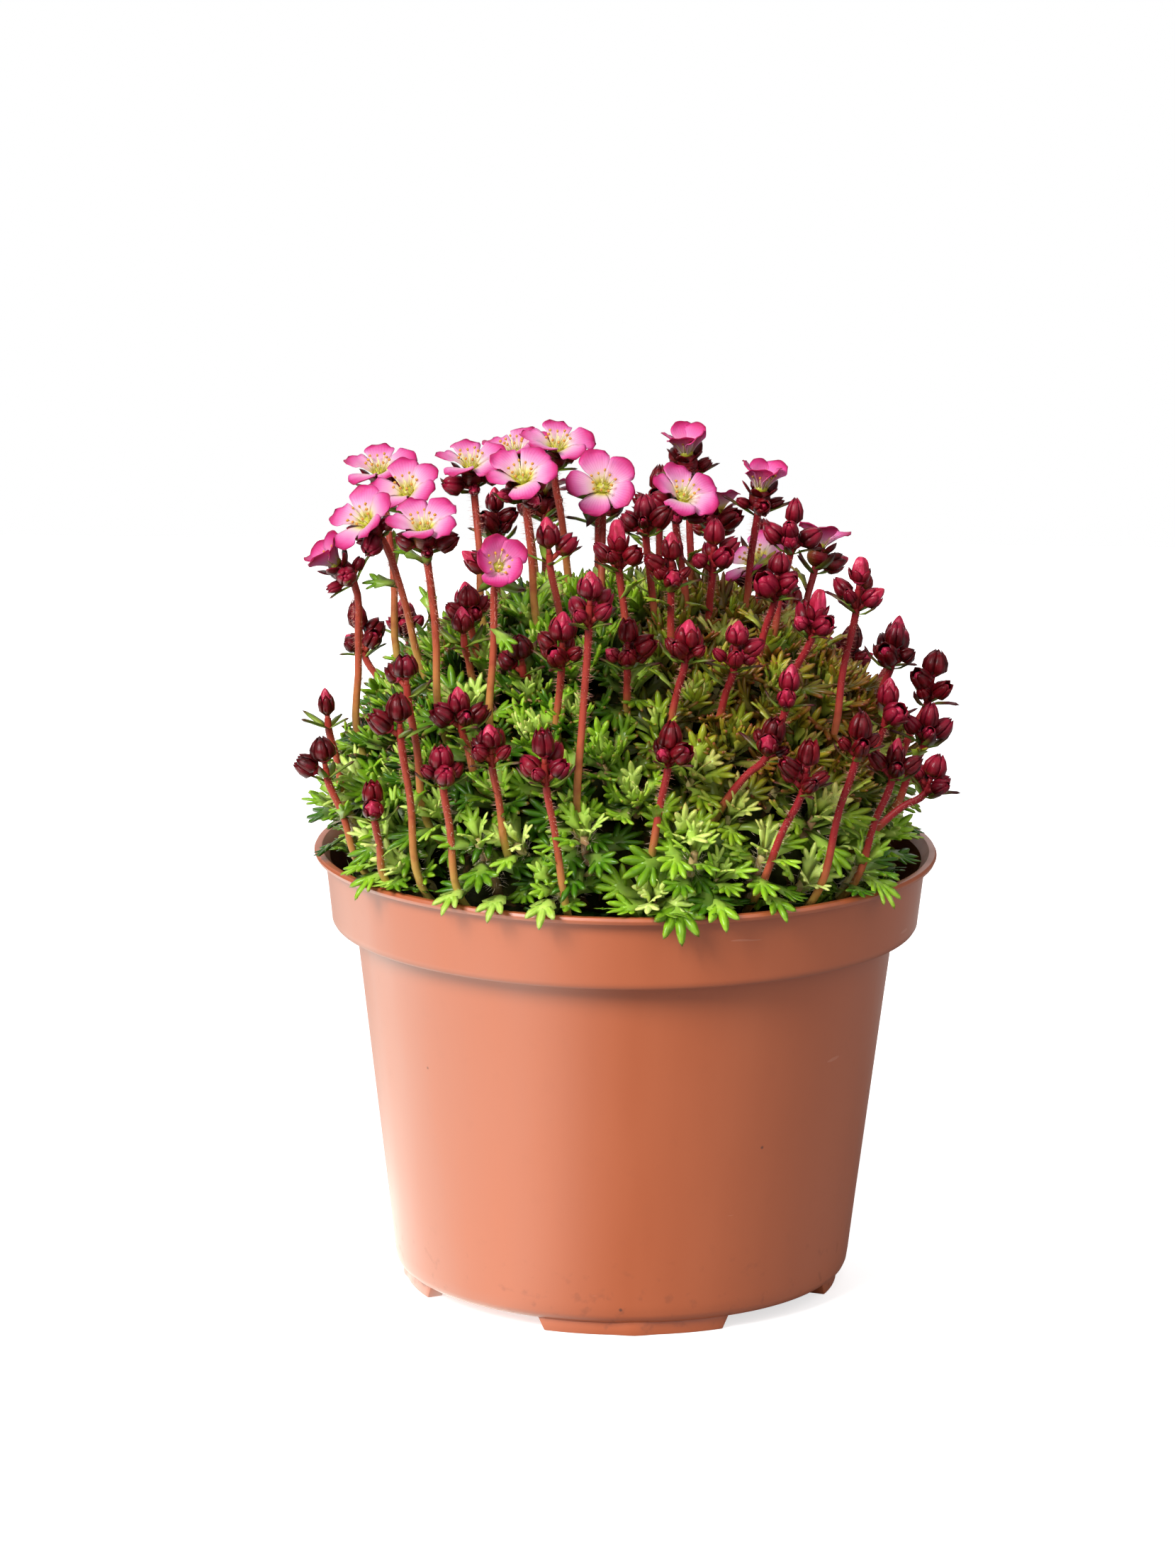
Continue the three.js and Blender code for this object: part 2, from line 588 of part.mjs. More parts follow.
// The rosettes lie on the mound in a golden spiral that gives each one the same area.
function rosettePlaces() {
  const steps = 400;
  const shares = Array.from({ length: steps + 1 }, (_, i) => Math.sin(0.5 * Math.PI * i / steps));
  const line = shares.map((s) => [MOUND_RADIUS * s, moundHeight(MOUND_RADIUS * s)]);
  const areas = [0];
  for (let i = 1; i <= steps; i++) {
    const [r0, h0] = line[i - 1];
    const [r1, h1] = line[i];
    areas.push(areas[i - 1] + (r0 + r1) * Math.hypot(r1 - r0, h1 - h0));
  }
  return Array.from({ length: ROSETTE_COUNT }, (_, k) => {
    const area = areas[steps] * (k + 0.5) / ROSETTE_COUNT;
    const i = areas.findIndex((a) => a >= area);
    const [r0, h0] = line[i - 1];
    const [r1, h1] = line[i];
    const part = (area - areas[i - 1]) / (areas[i] - areas[i - 1]);
    const angle = k * Math.PI * (3 - Math.sqrt(5));
    const radius = r0 + (r1 - r0) * part;
    const slope = vec(h0 - h1, 0, r1 - r0).normalize();
    const out = vec(Math.cos(angle), Math.sin(angle), 0);
    const rise = slope.z + 0.25 + 0.3 * slope.x;
    const axis = out.clone().multiplyScalar(slope.x).addScaledVector(UP, rise).normalize();
    const at = out.multiplyScalar(radius).setZ(RIM_TOP + 1.5 + h0 + (h1 - h0) * part);
    return { at, axis };
  });
}

// How near the shoot of a rosette comes to the stems and buds, and which way leads off from them.
function nearestToShoot(at, axis) {
  const shoot = [-3.4, -1.6, 0, 2, 4, 6, 8].map((deep) => at.clone().addScaledVector(axis, -deep));
  return shoot.flatMap((p) => [
    ...stalks.map((route) => ({ p, ...nearestOnStalk(p, route) })),
    ...bulbs.map((bulb) => ({ p, at: bulb.at, gap: bulb.at.distanceTo(p) - bulb.radius + 1 })),
  ]).reduce((a, b) => (a.gap < b.gap ? a : b));
}

function cushion(standing) {
  let solid = core();
  const leafTips = [];
  rosettePlaces().forEach(({ at, axis }, i) => {
    let near = nearestToShoot(at, axis);
    for (let step = 0; step < 30 && near.gap < SHOOT_ROOM; step++) {
      const away = near.p.clone().sub(near.at);
      away.addScaledVector(axis, -away.dot(axis)).normalize();
      at.addScaledVector(away, SHOOT_ROOM - near.gap + 0.1);
      const out = Math.hypot(at.x, at.y);
      if (out > MOUND_RADIUS - 2) at.multiply(vec((MOUND_RADIUS - 2) / out, (MOUND_RADIUS - 2) / out, 1));
      near = nearestToShoot(at, axis);
    }
    if (near.gap < SHOOT_ROOM - 1) return;
    const turned = (_, k) => rosette(at, axis, i + k * ROSETTE_COUNT, leafTips);
    const tries = Array.from({ length: ROSETTE_TURNS }, turned);
    tries.sort((a, b) => b.tips.length - a.tips.length);
    const made = tries.find((one) => standing.intersect(one.solid).isEmpty());
    if (!made) return;
    solid = solid.add(made.solid);
    leafTips.push(...made.tips);
  });
  return toGeometry(solid);
}

place('pot', pot(), 'pot');
place('compost', compost(), 'compost');
const sprays = [...SPRAYS, ...backSprays()];
const named = (kind, i) => `${kind}_${String(i + 1).padStart(2, '0')}`;
const shoots = sprays.map(spray);
shoots.forEach((geometry, i) => place(named('spray', i), geometry, 'spray'));
const flowering = sprays.flat().filter((stem) => stem.length > 6);
flowering.forEach((stem, i) => place(named('bloom', i), bloom(stem), 'bloom'));
const standing = [...shoots, pot(), compost()].map(toSolid).reduce((all, one) => all.add(one));
place('cushion', cushion(standing), 'cushion');

export default saxifrage;
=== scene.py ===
import random
from math import atan2, cos, exp, floor, hypot, log, pi, radians, sin, sqrt, tan

import bmesh
import bpy
import numpy as np
from mathutils import Matrix, Vector


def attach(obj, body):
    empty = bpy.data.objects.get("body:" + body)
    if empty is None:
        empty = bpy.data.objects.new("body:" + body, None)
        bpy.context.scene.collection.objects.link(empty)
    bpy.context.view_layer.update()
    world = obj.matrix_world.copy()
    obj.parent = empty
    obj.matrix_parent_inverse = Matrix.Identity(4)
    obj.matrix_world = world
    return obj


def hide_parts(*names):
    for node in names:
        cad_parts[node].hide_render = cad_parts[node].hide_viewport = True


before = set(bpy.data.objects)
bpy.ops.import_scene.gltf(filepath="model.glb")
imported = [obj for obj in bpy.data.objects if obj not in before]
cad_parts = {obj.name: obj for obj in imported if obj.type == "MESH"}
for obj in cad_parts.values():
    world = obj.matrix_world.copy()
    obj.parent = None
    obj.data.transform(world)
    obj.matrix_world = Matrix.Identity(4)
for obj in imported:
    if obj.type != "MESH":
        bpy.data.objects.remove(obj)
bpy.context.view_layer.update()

bpy.ops.object.select_all(action="DESELECT")
MM = 0.001


# Pot
# The pot is one moulded shell of terracotta-coloured plastic: a tapered body, a collar, a thin lip, six
# drain holes in the floor and four short arc-shaped feet. It is satin, with a few specks and scratches, and
# a line of painted shade under the collar.
RIM_TOP = 85.5
RIM_RADIUS = 60
COLLAR_FOOT = 71.1
FOOT_HEIGHT = 2.7
FOOT_RADIUS = 42
FOOT_WIDTH = 3.2
FOOT_ANGLE = radians(52)
FOOT_TURN = radians(3.7)
FOOT_BULGE = 0.6
POT_FLOOR = 4.5
DRAIN_HOLES = 6
HOLE_RADIUS = 4
HOLE_CIRCLE = 28
EDGE_ROUND = 0.25
# The profile of the pot as (radius, height), up the outside and down the inside.
POT_PROFILE = [
    (42.5, FOOT_HEIGHT), (43.6, 3.6), (44, POT_FLOOR), (44.3, 6.5), (45.6, 17.8), (47.2, 31.1),
    (48.8, 44.4), (50.4, 57.8), (51.8, COLLAR_FOOT - 1.8), (52.1, COLLAR_FOOT), (56.2, COLLAR_FOOT),
    (56.5, COLLAR_FOOT + 0.5), (56.6, COLLAR_FOOT + 1.5), (57.2, 78), (57.8, RIM_TOP - 2.4),
    (57.9, RIM_TOP - 1.5), (59.7, RIM_TOP - 1.3), (60, RIM_TOP - 0.6), (59.7, RIM_TOP), (58.5, RIM_TOP),
    (57, RIM_TOP - 1.6), (56.2, 78), (55.4, 72.3), (52, 72.2), (50.6, 60), (46, 22), (42.9, 5.4),
    (42.2, POT_FLOOR)]


def pick(test):
    """Selects what has all its points where the test passes, in edit mode."""
    shape = bmesh.from_edit_mesh(bpy.context.object.data)
    for item in (*shape.faces, *shape.edges):
        item.select = False
    for point in shape.verts:
        point.select = bool(test(point.co))
    shape.select_flush(True)
    bmesh.update_edit_mesh(bpy.context.object.data)


def sealed():
    """Merges doubles, turns the faces outwards and leaves edit mode."""
    bpy.ops.mesh.select_all(action="SELECT")
    bpy.ops.mesh.remove_doubles(threshold=1e-6)
    bpy.ops.mesh.normals_make_consistent(inside=False)
    bpy.ops.object.mode_set(mode="OBJECT")


def turned(name, profile, sides):
    """A shell turned about +Z from a circle that is extruded from one radius and height to the next."""
    start, low = profile[0][0] * MM, profile[0][1] * MM
    bpy.ops.mesh.primitive_circle_add(vertices=sides, radius=start, location=(0, 0, low))
    bpy.ops.object.transform_apply()
    made = bpy.context.object
    made.name = name
    bpy.ops.object.mode_set(mode="EDIT")
    bpy.ops.mesh.select_all(action="SELECT")
    for (radius, height), (wider, higher) in zip(profile, profile[1:]):
        bpy.ops.mesh.extrude_region_move(TRANSFORM_OT_translate={"value": (0, 0, (higher - height) * MM)})
        grow = wider / radius
        bpy.ops.transform.resize(value=(grow, grow, 1), center_override=(0, 0, higher * MM))
    bpy.ops.mesh.edge_face_add()
    pick(lambda p: abs(p.z - low) < 1e-6 and abs(p.xy.length - start) < 1e-6)
    bpy.ops.mesh.edge_face_add()
    sealed()
    return made


def alone(piece):
    """Leaves one piece selected and active."""
    bpy.ops.object.select_all(action="DESELECT")
    piece.select_set(True)
    bpy.context.view_layer.objects.active = piece


def join(parts, name):
    """Makes one piece of several, under a new name."""
    alone(parts[0])
    for part in parts:
        part.select_set(True)
    bpy.ops.object.join()
    made = bpy.context.object
    made.name = name
    made.select_set(False)
    return made


def modified(piece, kind, **settings):
    """Applies a modifier of a kind to a piece."""
    bpy.context.view_layer.objects.active = piece
    change = piece.modifiers.new(kind.lower(), kind)
    for name, setting in settings.items():
        setattr(change, name, setting)
    bpy.ops.object.modifier_apply(modifier=change.name)


pot = turned("pot_shell", POT_PROFILE, 144)
holes = []
for i in range(DRAIN_HOLES):
    a = 2 * pi * i / DRAIN_HOLES
    place = Vector((HOLE_CIRCLE * cos(a), HOLE_CIRCLE * sin(a), POT_FLOOR - 0.5)) * MM
    bpy.ops.mesh.primitive_cylinder_add(vertices=24, radius=HOLE_RADIUS * MM, depth=9 * MM, location=place)
    bpy.ops.object.transform_apply()
    holes.append(bpy.context.object)
drill = join(holes, "drill")
modified(pot, "BOOLEAN", object=drill, operation="DIFFERENCE", solver="EXACT")
bpy.data.objects.remove(drill)
modified(pot, "BEVEL", width=EDGE_ROUND * MM, segments=2, limit_method="ANGLE", angle_limit=radians(38))
feet = []
for i in range(4):
    turn = FOOT_TURN + i * pi / 2
    tall = FOOT_HEIGHT + 0.3
    bpy.ops.mesh.primitive_plane_add(size=1, rotation=(pi / 2, 0, 0))
    foot = bpy.context.object
    foot.scale = (FOOT_WIDTH * MM, tall * MM, 1)
    foot.location = ((FOOT_RADIUS - FOOT_WIDTH / 2) * MM, 0, tall / 2 * MM)
    bpy.ops.object.transform_apply()
    foot.rotation_euler.z = turn + FOOT_ANGLE / 2
    bpy.ops.object.transform_apply()
    bpy.ops.object.mode_set(mode="EDIT")
    bpy.ops.mesh.select_all(action="SELECT")
    bpy.ops.mesh.spin(steps=24, angle=FOOT_ANGLE, center=(0, 0, 0), axis=(0, 0, 1))
    sealed()
    for point in foot.data.vertices:
        at = Matrix.Rotation(-turn, 3, "Z") @ point.co
        off = atan2(at.y, at.x)
        share = off / (FOOT_ANGLE * 0.13)
        if at.xy.length > (FOOT_RADIUS - 0.2) * MM and abs(share) < 1:
            point.co.xy = point.co.xy * (1 + FOOT_BULGE / FOOT_RADIUS * cos(share * pi / 2) ** 2)
        if point.co.z < 0.1 * MM:
            point.co = Matrix.Rotation(-0.08 * off, 3, "Z") @ point.co
    modified(foot, "BEVEL", width=EDGE_ROUND * MM, segments=2, limit_method="ANGLE", angle_limit=radians(50))
    feet.append(foot)
pot = join([pot, *feet], "pot_shell")
alone(pot)
bpy.ops.object.shade_smooth_by_angle(angle=radians(32))
pot.select_set(False)


class Shade:
    """A value in a material. Sums and products of it add Math nodes."""

    def __init__(self, socket):
        self.socket = socket

    def node(self, kind, values=None, out=0, **settings):
        """Adds a node with its settings, then its values or links, and gives one of its outputs."""
        tree = self.socket.id_data
        made = tree.nodes.new("ShaderNode" + kind)
        stops = settings.pop("stops", None)
        for name, setting in settings.items():
            setattr(made, name, setting)
        if stops:
            ends = made.color_ramp.elements
            ends[0].position, ends[1].position = stops[0][0], stops[-1][0]
            ends[0].color, ends[1].color = (*stops[0][1], 1), (*stops[-1][1], 1)
            for place, colour in stops[1:-1]:
                ends.new(place).color = (*colour, 1)
        for key, value in (values or {}).items():
            if isinstance(value, Shade):
                tree.links.new(value.socket, made.inputs[key])
            else:
                made.inputs[key].default_value = value
        return Shade(made.outputs[out])

    def math(self, operation, *others):
        return self.node("Math", dict(enumerate((self, *others))), operation=operation)

    def __add__(self, other):
        return self.math("ADD", other)

    def __sub__(self, other):
        return self.math("SUBTRACT", other)

    def __rsub__(self, other):
        return self * -1 + other

    def __mul__(self, other):
        return self.math("MULTIPLY", other)

    def __pow__(self, other):
        return self.math("POWER", other)

    def __abs__(self):
        return self.math("ABSOLUTE")

    __radd__ = __add__
    __rmul__ = __mul__

    def step(self, low, high):
        """0 below low and 1 above high, and smooth between."""
        return self.node("MapRange", {0: self, 1: low, 2: high}, interpolation_type="SMOOTHSTEP")

    def blend(self, low, high):
        """The colour low where this is 0 and high where it is 1."""
        low, high = [end if isinstance(end, Shade) else (*end, 1) for end in (low, high)]
        return self.node("Mix", {0: self, 6: low, 7: high}, out=2, data_type="RGBA")

    def ramp(self, *stops):
        """A colour for each place from 0 to 1."""
        return self.node("ValToRGB", {0: self}, stops=stops)

    def bump(self, strength, distance):
        return self.node("Bump", {"Height": self, "Strength": strength, "Distance": distance})

    def xyz(self):
        """The three numbers of a vector."""
        return [Shade(part) for part in self.node("SeparateXYZ", {0: self}).socket.node.outputs]

    def scaled(self, x, y, z):
        return self.node("VectorMath", {0: self, 1: (x, y, z)}, operation="MULTIPLY")

    def noise(self, scale, detail=2.0):
        return self.node("TexNoise", {"Vector": self, "Scale": scale, "Detail": detail})


def look(name, roughness=0.5, specular=0.5, **plain):
    """A new material, its object coordinates and its shader, with the values that are alike all over."""
    made = bpy.data.materials.new(name)
    made.use_nodes = True
    tree = made.node_tree
    shader = tree.nodes["Principled BSDF"]
    for key, value in {"Roughness": roughness, "Specular IOR Level": specular, **plain}.items():
        shader.inputs[key.replace("_", " ")].default_value = value
    return made, Shade(tree.nodes.new("ShaderNodeTexCoord").outputs["Object"]), shader


def feed(shader, **values):
    """Links what changes over a surface to its shader."""
    for key, value in values.items():
        socket = shader.inputs[key.replace("_", " ")]
        socket.id_data.links.new(value.socket, socket)


plastic, at, shader = look("terracotta_plastic", 0.4, specular=0.9)
clouds = at.noise(22)
streaks = at.scaled(1, 1, 0.06).noise(140, 3.0)
tone = (clouds * 0.55 + streaks * 0.4).step(0.2, 0.8)
body = tone.blend((0.43, 0.094, 0.026), (0.475, 0.112, 0.035))
height = at.xyz()[2]
cells = at.node("TexVoronoi", {"Vector": at, "Scale": 190.0})
chance = at.node("TexVoronoi", {"Vector": at, "Scale": 190.0}, out=1)
rare = chance.node("SeparateColor", {0: chance}).step(0.93, 0.95)
specks = (1 - cells.step(0.03, 0.09)) * rare
low = 1 - height.step(0.002, 0.02)
grime = at.noise(330, 4.0).step(0.58, 0.72) * (low * 0.25 + 0.02)
# The dark line at the collar's foot is painted shade under the collar's overhang.
fold = 1 - abs(height - COLLAR_FOOT * MM).step(0.0002, 0.0012)
lip = height.step((RIM_TOP - 2.6) * MM, (RIM_TOP - 0.2) * MM) * at.noise(120, 3.0).step(0.45, 0.8)
# This sums dirt (specks, grime low down, patches at the lip) and the painted shade at the collar's foot.
dirt_and_shade = (specks * 0.8 + grime + fold * 0.25 + lip * 0.3).math("MINIMUM", 0.9)
colour = dirt_and_shade.blend(body, (0.07, 0.024, 0.014))
scratch = at.scaled(1, 1, 8).noise(60, 1.0).step(0.785, 0.79)
colour = (scratch * 0.2).blend(colour, (0.7, 0.34, 0.24))
relief = clouds * 0.5 + streaks * 0.12 - scratch * 0.1
feed(shader, Base_Color=colour, Roughness=0.36 + tone * 0.1 + dirt_and_shade * 0.3,
     Normal=relief.bump(0.2, 0.0006))
pot.data.materials.append(plastic)
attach(pot, "root")
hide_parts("pot")


# Compost
# The compost is dark moist peat, pressed into the pot to a finger's breadth under the lip. Its top is
# crumbly, with small loose lumps.
COMPOST_TOP = 78
LUMPS = 260
rng = random.Random(5)
fill = [(0.6, COMPOST_TOP)]
fill += [(r, COMPOST_TOP) for r in range(4, 48, 4)]
fill += [(48, COMPOST_TOP), (50, COMPOST_TOP), (52, 77.6), (53.6, 77), (55, 76), (54.9, 73), (51.6, 72),
         (50.4, 60), (42.6, 4.8)]


def new_object(name, data):
    made = bpy.data.objects.new(name, data)
    bpy.context.scene.collection.objects.link(made)
    return made


compost = turned("compost_fill", fill[::-1], 96)
for point in compost.data.vertices:
    if point.co.z > 75.5 * MM:
        point.co.z += rng.uniform(-0.5, 0.7) * MM
bpy.ops.mesh.primitive_ico_sphere_add(subdivisions=1, radius=1)
crumb = bpy.context.object
for point in crumb.data.vertices:
    point.co *= rng.uniform(0.75, 1.2)
lumps = []
for i in range(LUMPS):
    a = rng.uniform(0, 2 * pi)
    r = 55 - 14 * rng.random() ** 1.6
    lump = new_object("crumb", crumb.data.copy())
    size = rng.uniform(0.35, 1.1) * MM
    turn = Matrix.Rotation(rng.uniform(0, 6), 4, Vector((rng.random(), rng.random(), rng.random())))
    place = Vector((r * cos(a), r * sin(a), COMPOST_TOP - 0.45 * max(r - 51, 0) + 0.1)) * MM
    shape = Matrix.Diagonal((size, size * rng.uniform(0.7, 1.3), size * 0.7, 1))
    lump.data.transform(Matrix.Translation(place) @ turn @ shape)
    lumps.append(lump)
bpy.data.objects.remove(crumb)
compost = join([compost, *lumps], "compost_fill")
peat, at, shader = look("peat", 0.9, specular=0.15)
grain = at.noise(420, 5.0)
tone = grain.step(0.35, 0.7)
fibre = at.scaled(1, 3, 1).noise(700).step(0.66, 0.74)
colour = tone.blend((0.009, 0.006, 0.004), (0.045, 0.026, 0.015))
colour = (fibre * 0.7).blend(colour, (0.16, 0.1, 0.05))
feed(shader, Base_Color=colour, Normal=grain.bump(0.8, 0.001))
compost.data.materials.append(peat)
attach(compost, "root")
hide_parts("compost")


# Cushion: the old growth inside
# Under the leaves the mat is a dense mound of old shoots, brown-green and painted near-black as the shade
# deep in the cushion. It is a lumpy dome that shows only as depth between the rosettes.
MOUND_RADIUS = 56
MOUND_HEIGHT = 46
CORE_DEPTH = 6.5


def mound_height(radius, depth=0):
    """How far the cushion, or a layer at a depth in it, stands over the rim."""
    share = min(radius / (MOUND_RADIUS - depth), 1)
    return (MOUND_HEIGHT - depth) * (1 - share ** 2.4) ** 0.6


inside = MOUND_RADIUS - CORE_DEPTH
dome = [(44, COMPOST_TOP + 0.3), (inside - 1, RIM_TOP - 1)]
dome += [(inside * s, RIM_TOP + mound_height(inside * s, CORE_DEPTH)) for s in
         (0.999, 0.97, 0.92, 0.85, 0.77, 0.68, 0.58, 0.47, 0.36, 0.25, 0.14, 0.04)]
mound = turned("shaded_old_growth", dome, 72)
for point in mound.data.vertices:
    if point.co.z > RIM_TOP * MM:
        point.co += point.normal * rng.uniform(-1.1, 1.1) * MM
alone(mound)
bpy.ops.object.shade_smooth()
mound.select_set(False)
shaded_thatch, at, shader = look("shaded_old_growth", 0.9, specular=0.1)
patch = at.noise(150, 4.0)
# These near-black colours are partly painted shade of the deep gaps between the rosettes.
colour = patch.step(0.35, 0.65).blend((0.006, 0.007, 0.002), (0.03, 0.035, 0.006))
colour = at.noise(380, 3.0).step(0.55, 0.68).blend(colour, (0.08, 0.04, 0.014))
feed(shader, Base_Color=colour, Normal=patch.bump(0.9, 0.002))
mound.data.materials.append(shaded_thatch)
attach(mound, "root")
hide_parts("cushion")


# Cushion: rosettes
# Every shoot ends in a rosette of fleshy wedge-shaped leaves, cut into three or five pointed fingers. Shoots
# on top are short and tight, low ones long and pale with white wool, and a few leaves hang over the lip.
UP = Vector((0, 0, 1))


def copy_of(mesh, matrix):
    made = new_object("copy", mesh.copy())
    made.data.transform(matrix)
    return made


def stamp(mesh, name, value):
    """Gives every point of a mesh one value under a name that a material can read."""
    attribute = mesh.attributes.get(name) or mesh.attributes.new(name, "FLOAT", "POINT")
    attribute.data.foreach_set("value", np.full(len(mesh.vertices), value, dtype=np.float32))


def shift_uv(mesh, start, length):
    """Places a mesh's own texture coordinate along it between two shares of the whole."""
    layer = mesh.uv_layers.active.data
    flat = np.zeros(len(layer) * 2, dtype=np.float32)
    layer.foreach_get("uv", flat)
    flat[::2] = start + flat[::2] * length
    layer.foreach_set("uv", flat)


def taken(piece, material=None):
    """The mesh of a piece whose object isn't needed, with its material."""
    mesh = piece.data
    bpy.data.objects.remove(piece)
    if material:
        mesh.materials.clear()
        mesh.materials.append(material)
    return mesh


def smooth_mesh(material):
    """The mesh of a primitive that was just made, in its place, smooth and with a material."""
    bpy.ops.object.transform_apply()
    bpy.ops.object.shade_smooth()
    return taken(bpy.context.object, material)


def lens(columns, thick, rows, material):
    """A fleshy pointed blade from 0 to 1 along X, domed on both faces, with a sharp edge."""
    bpy.ops.mesh.primitive_grid_add(
        x_subdivisions=len(columns), y_subdivisions=rows, size=1, location=(0.5, 0, 0))
    bpy.ops.object.transform_apply()
    bpy.ops.object.mode_set(mode="EDIT")
    for j in range(1, rows):
        y = j / rows - 0.5
        pick(lambda p: abs(p.y - y) < 0.01 and 0.001 < p.x < 0.99)
        bpy.ops.transform.translate(value=(0, 0, thick * (1 - 4 * y * y)))
    for i, (place, width) in enumerate(columns):
        x = i / len(columns)
        pick(lambda p: abs(p.x - x) < 0.01)
        bpy.ops.transform.resize(value=(1, width * 2, 1), center_override=(x, 0, 0))
        bpy.ops.transform.translate(value=(place - x, 0, 0))
    pick(lambda p: p.x > 0.999)
    bpy.ops.mesh.merge(type="CENTER")
    pick(lambda p: True)
    bpy.ops.mesh.duplicate()
    bpy.ops.transform.resize(value=(1, 1, -1), center_override=(0, 0, 0))
    sealed()
    return smooth_mesh(material)


def arched(mesh, first, last):
    """Bends a leaf that lies along X into an arc, from one angle over X to another, in degrees."""
    first = radians(first)
    bend = first - radians(last)
    for point in mesh.vertices:
        x, _, z = point.co
        angle = first - bend * x
        point.co.x = (sin(first) - sin(angle)) / bend - z * sin(angle)
        point.co.z = (cos(angle) - cos(first)) / bend + z * cos(angle)
    return mesh


def across_of(axis, toward):
    """Two ways across an axis, the first as near as it can be to a third."""
    u = (toward - axis * toward.dot(axis)).normalized()
    return u, axis.cross(u)


def hairs(places, ways, length, width):
    """Fine straight hairs, each a three-sided spike on a place."""
    points, faces = [], []
    for place, way in zip(places, ways):
        u, v = across_of(way.normalized(), Vector((0.3, 0.2, 1)))
        n = len(points)
        points += [place + u * width, place + (v - u) * width, place - (u + v) * width, place + way * length]
        faces += [(n, n + 1, n + 3), (n + 1, n + 2, n + 3), (n + 2, n, n + 3), (n, n + 2, n + 1)]
    mesh = bpy.data.meshes.new("hairs")
    mesh.from_pydata(points, [], faces)
    mesh.uv_layers.new(name="UVMap")
    mesh.materials.append(fuzz)
    return new_object("hairs", mesh)


leafy, at, shader = look("leaf", 0.4, specular=0.36, Subsurface_Weight=0.08, Subsurface_Scale=0.001)
tint = at.node("Attribute", out=2, attribute_name="tint")
along, across, _ = at.node("UVMap", uv_map="UVMap").xyz()
left, _, height = at.xyz()
high = height.step(0.09, 0.118)
mottle = at.noise(700)
tone = tint + mottle * 0.3 - 0.15 + along * 0.1 - high * 0.1
green = tone.ramp((0, (0.008, 0.036, 0.001)), (0.3, (0.052, 0.17, 0.003)), (0.6, (0.31, 0.57, 0.02)),
                  (0.95, (0.82, 0.94, 0.26)))
rusty = left.step(-0.01, 0.03) * high * at.noise(60).step(0.22, 0.5)
green = (rusty * (along * 0.5 + 0.32)).blend(green, (0.34, 0.075, 0.012))
stalk = (1 - along.step(0.12, 0.58)) * (1 - rusty * 0.6)
green = (stalk * (tint * 0.55 + 0.1)).blend(green, (0.6, 0.72, 0.18))
# The darker line along the middle of each finger is painted shade of a groove.
midline = 1 - abs(across - 0.5).step(0.0, 0.2)
green = (midline * 0.3 * along.step(0.3, 0.5)).blend(green, (0.1, 0.2, 0.012))
spot = at.noise(130).step(0.4, 0.65)
tip = along.step(0.74, 1.0) * (0.1 + spot * 0.4 + high * 0.35 + rusty * 0.25)
green = tip.math("MINIMUM", 0.9).blend(green, (0.2, 0.02, 0.012))
shoot_tone = at.noise(160, 3.0).step(0.35, 0.65)
shoot_colour = shoot_tone.blend((0.62, 0.55, 0.2), (0.46, 0.25, 0.12))
green = along.step(-0.3, -0.2).blend(shoot_colour, green)
feed(shader, Base_Color=green, Roughness=0.26 + mottle * 0.14,
     Normal=mottle.bump(0.3, 0.0003))
fuzz, at, shader = look("hair", 0.6, specular=0.2)
red = at.xyz()[2].step(0.094, 0.112)
wool = at.noise(500, 1.0).blend((0.6, 0.46, 0.3), (0.85, 0.78, 0.6))
feed(shader, Base_Color=(red * 0.75).blend(wool, (0.62, 0.16, 0.13)))

finger = lens([(0, 0.36), (0.3, 0.46), (0.65, 0.48), (0.89, 0.27)], 0.5, 2, leafy)
stalk_blade = lens([(0, 0.24), (0.45, 0.26), (0.78, 0.5)], 0.5, 2, leafy)
PALM = 0.52
LEAF_THICKNESS = 0.066


def leaf(angles, lengths, width, first, last):
    """A leaf from 0 to 1 along X: a flat stalk that widens to a palm, and a finger for each angle."""
    parts = [copy_of(stalk_blade, Matrix.Diagonal((PALM + 0.2, 0.43, LEAF_THICKNESS, 1)))]
    shift_uv(parts[0].data, 0, PALM)
    for angle, length in zip(angles, lengths):
        turn = Matrix.Rotation(radians(angle), 4, "Z")
        turn = turn @ Matrix.Rotation(radians(angle * 0.35), 4, "X")
        shape = Matrix.Diagonal((length, width, LEAF_THICKNESS, 1))
        parts.append(copy_of(finger, Matrix.Translation((PALM - 0.05, 0, 0)) @ turn @ shape))
        shift_uv(parts[-1].data, PALM * 0.7, 1 - PALM * 0.7)
    made = taken(join(parts, "leaf"))
    for point in made.vertices:
        point.co.z += 0.35 * point.co.y ** 2
    return arched(made, first, last)


FIVE = (-56, -27, 1, 28, 58), (0.37, 0.46, 0.5, 0.45, 0.36), 0.126
THREE = (-34, 2, 36), (0.41, 0.5, 0.4), 0.142
TWO = (-15, 14), (0.38, 0.48), 0.138
SPREAD = [leaf(*kind, 18, -28) for kind in (FIVE, THREE, TWO)]
UPRIGHT = [leaf(*kind, -14, 22) for kind in (FIVE, THREE, TWO)]


def fringe(leaves, drawn):
    """Where hairs stand on the edges of the leaf stalks, and which way they point."""
    places, ways = [], []
    for one in leaves:
        points = [point.co for point in one.data.vertices]
        base = points[0]
        run = sum(points, Vector()) / len(points) - base
        side = run.cross(UP).normalized()
        for i in range(9):
            turn = 1 if i % 2 else -1
            places.append(base + run * drawn.uniform(0.1, 0.75) + side * turn * 0.7)
            way = side * turn + run.normalized() * drawn.uniform(0, 0.8)
            ways.append(way.normalized() * drawn.uniform(0.5, 1))
    return places, ways


GOLDEN_ANGLE = 137.5


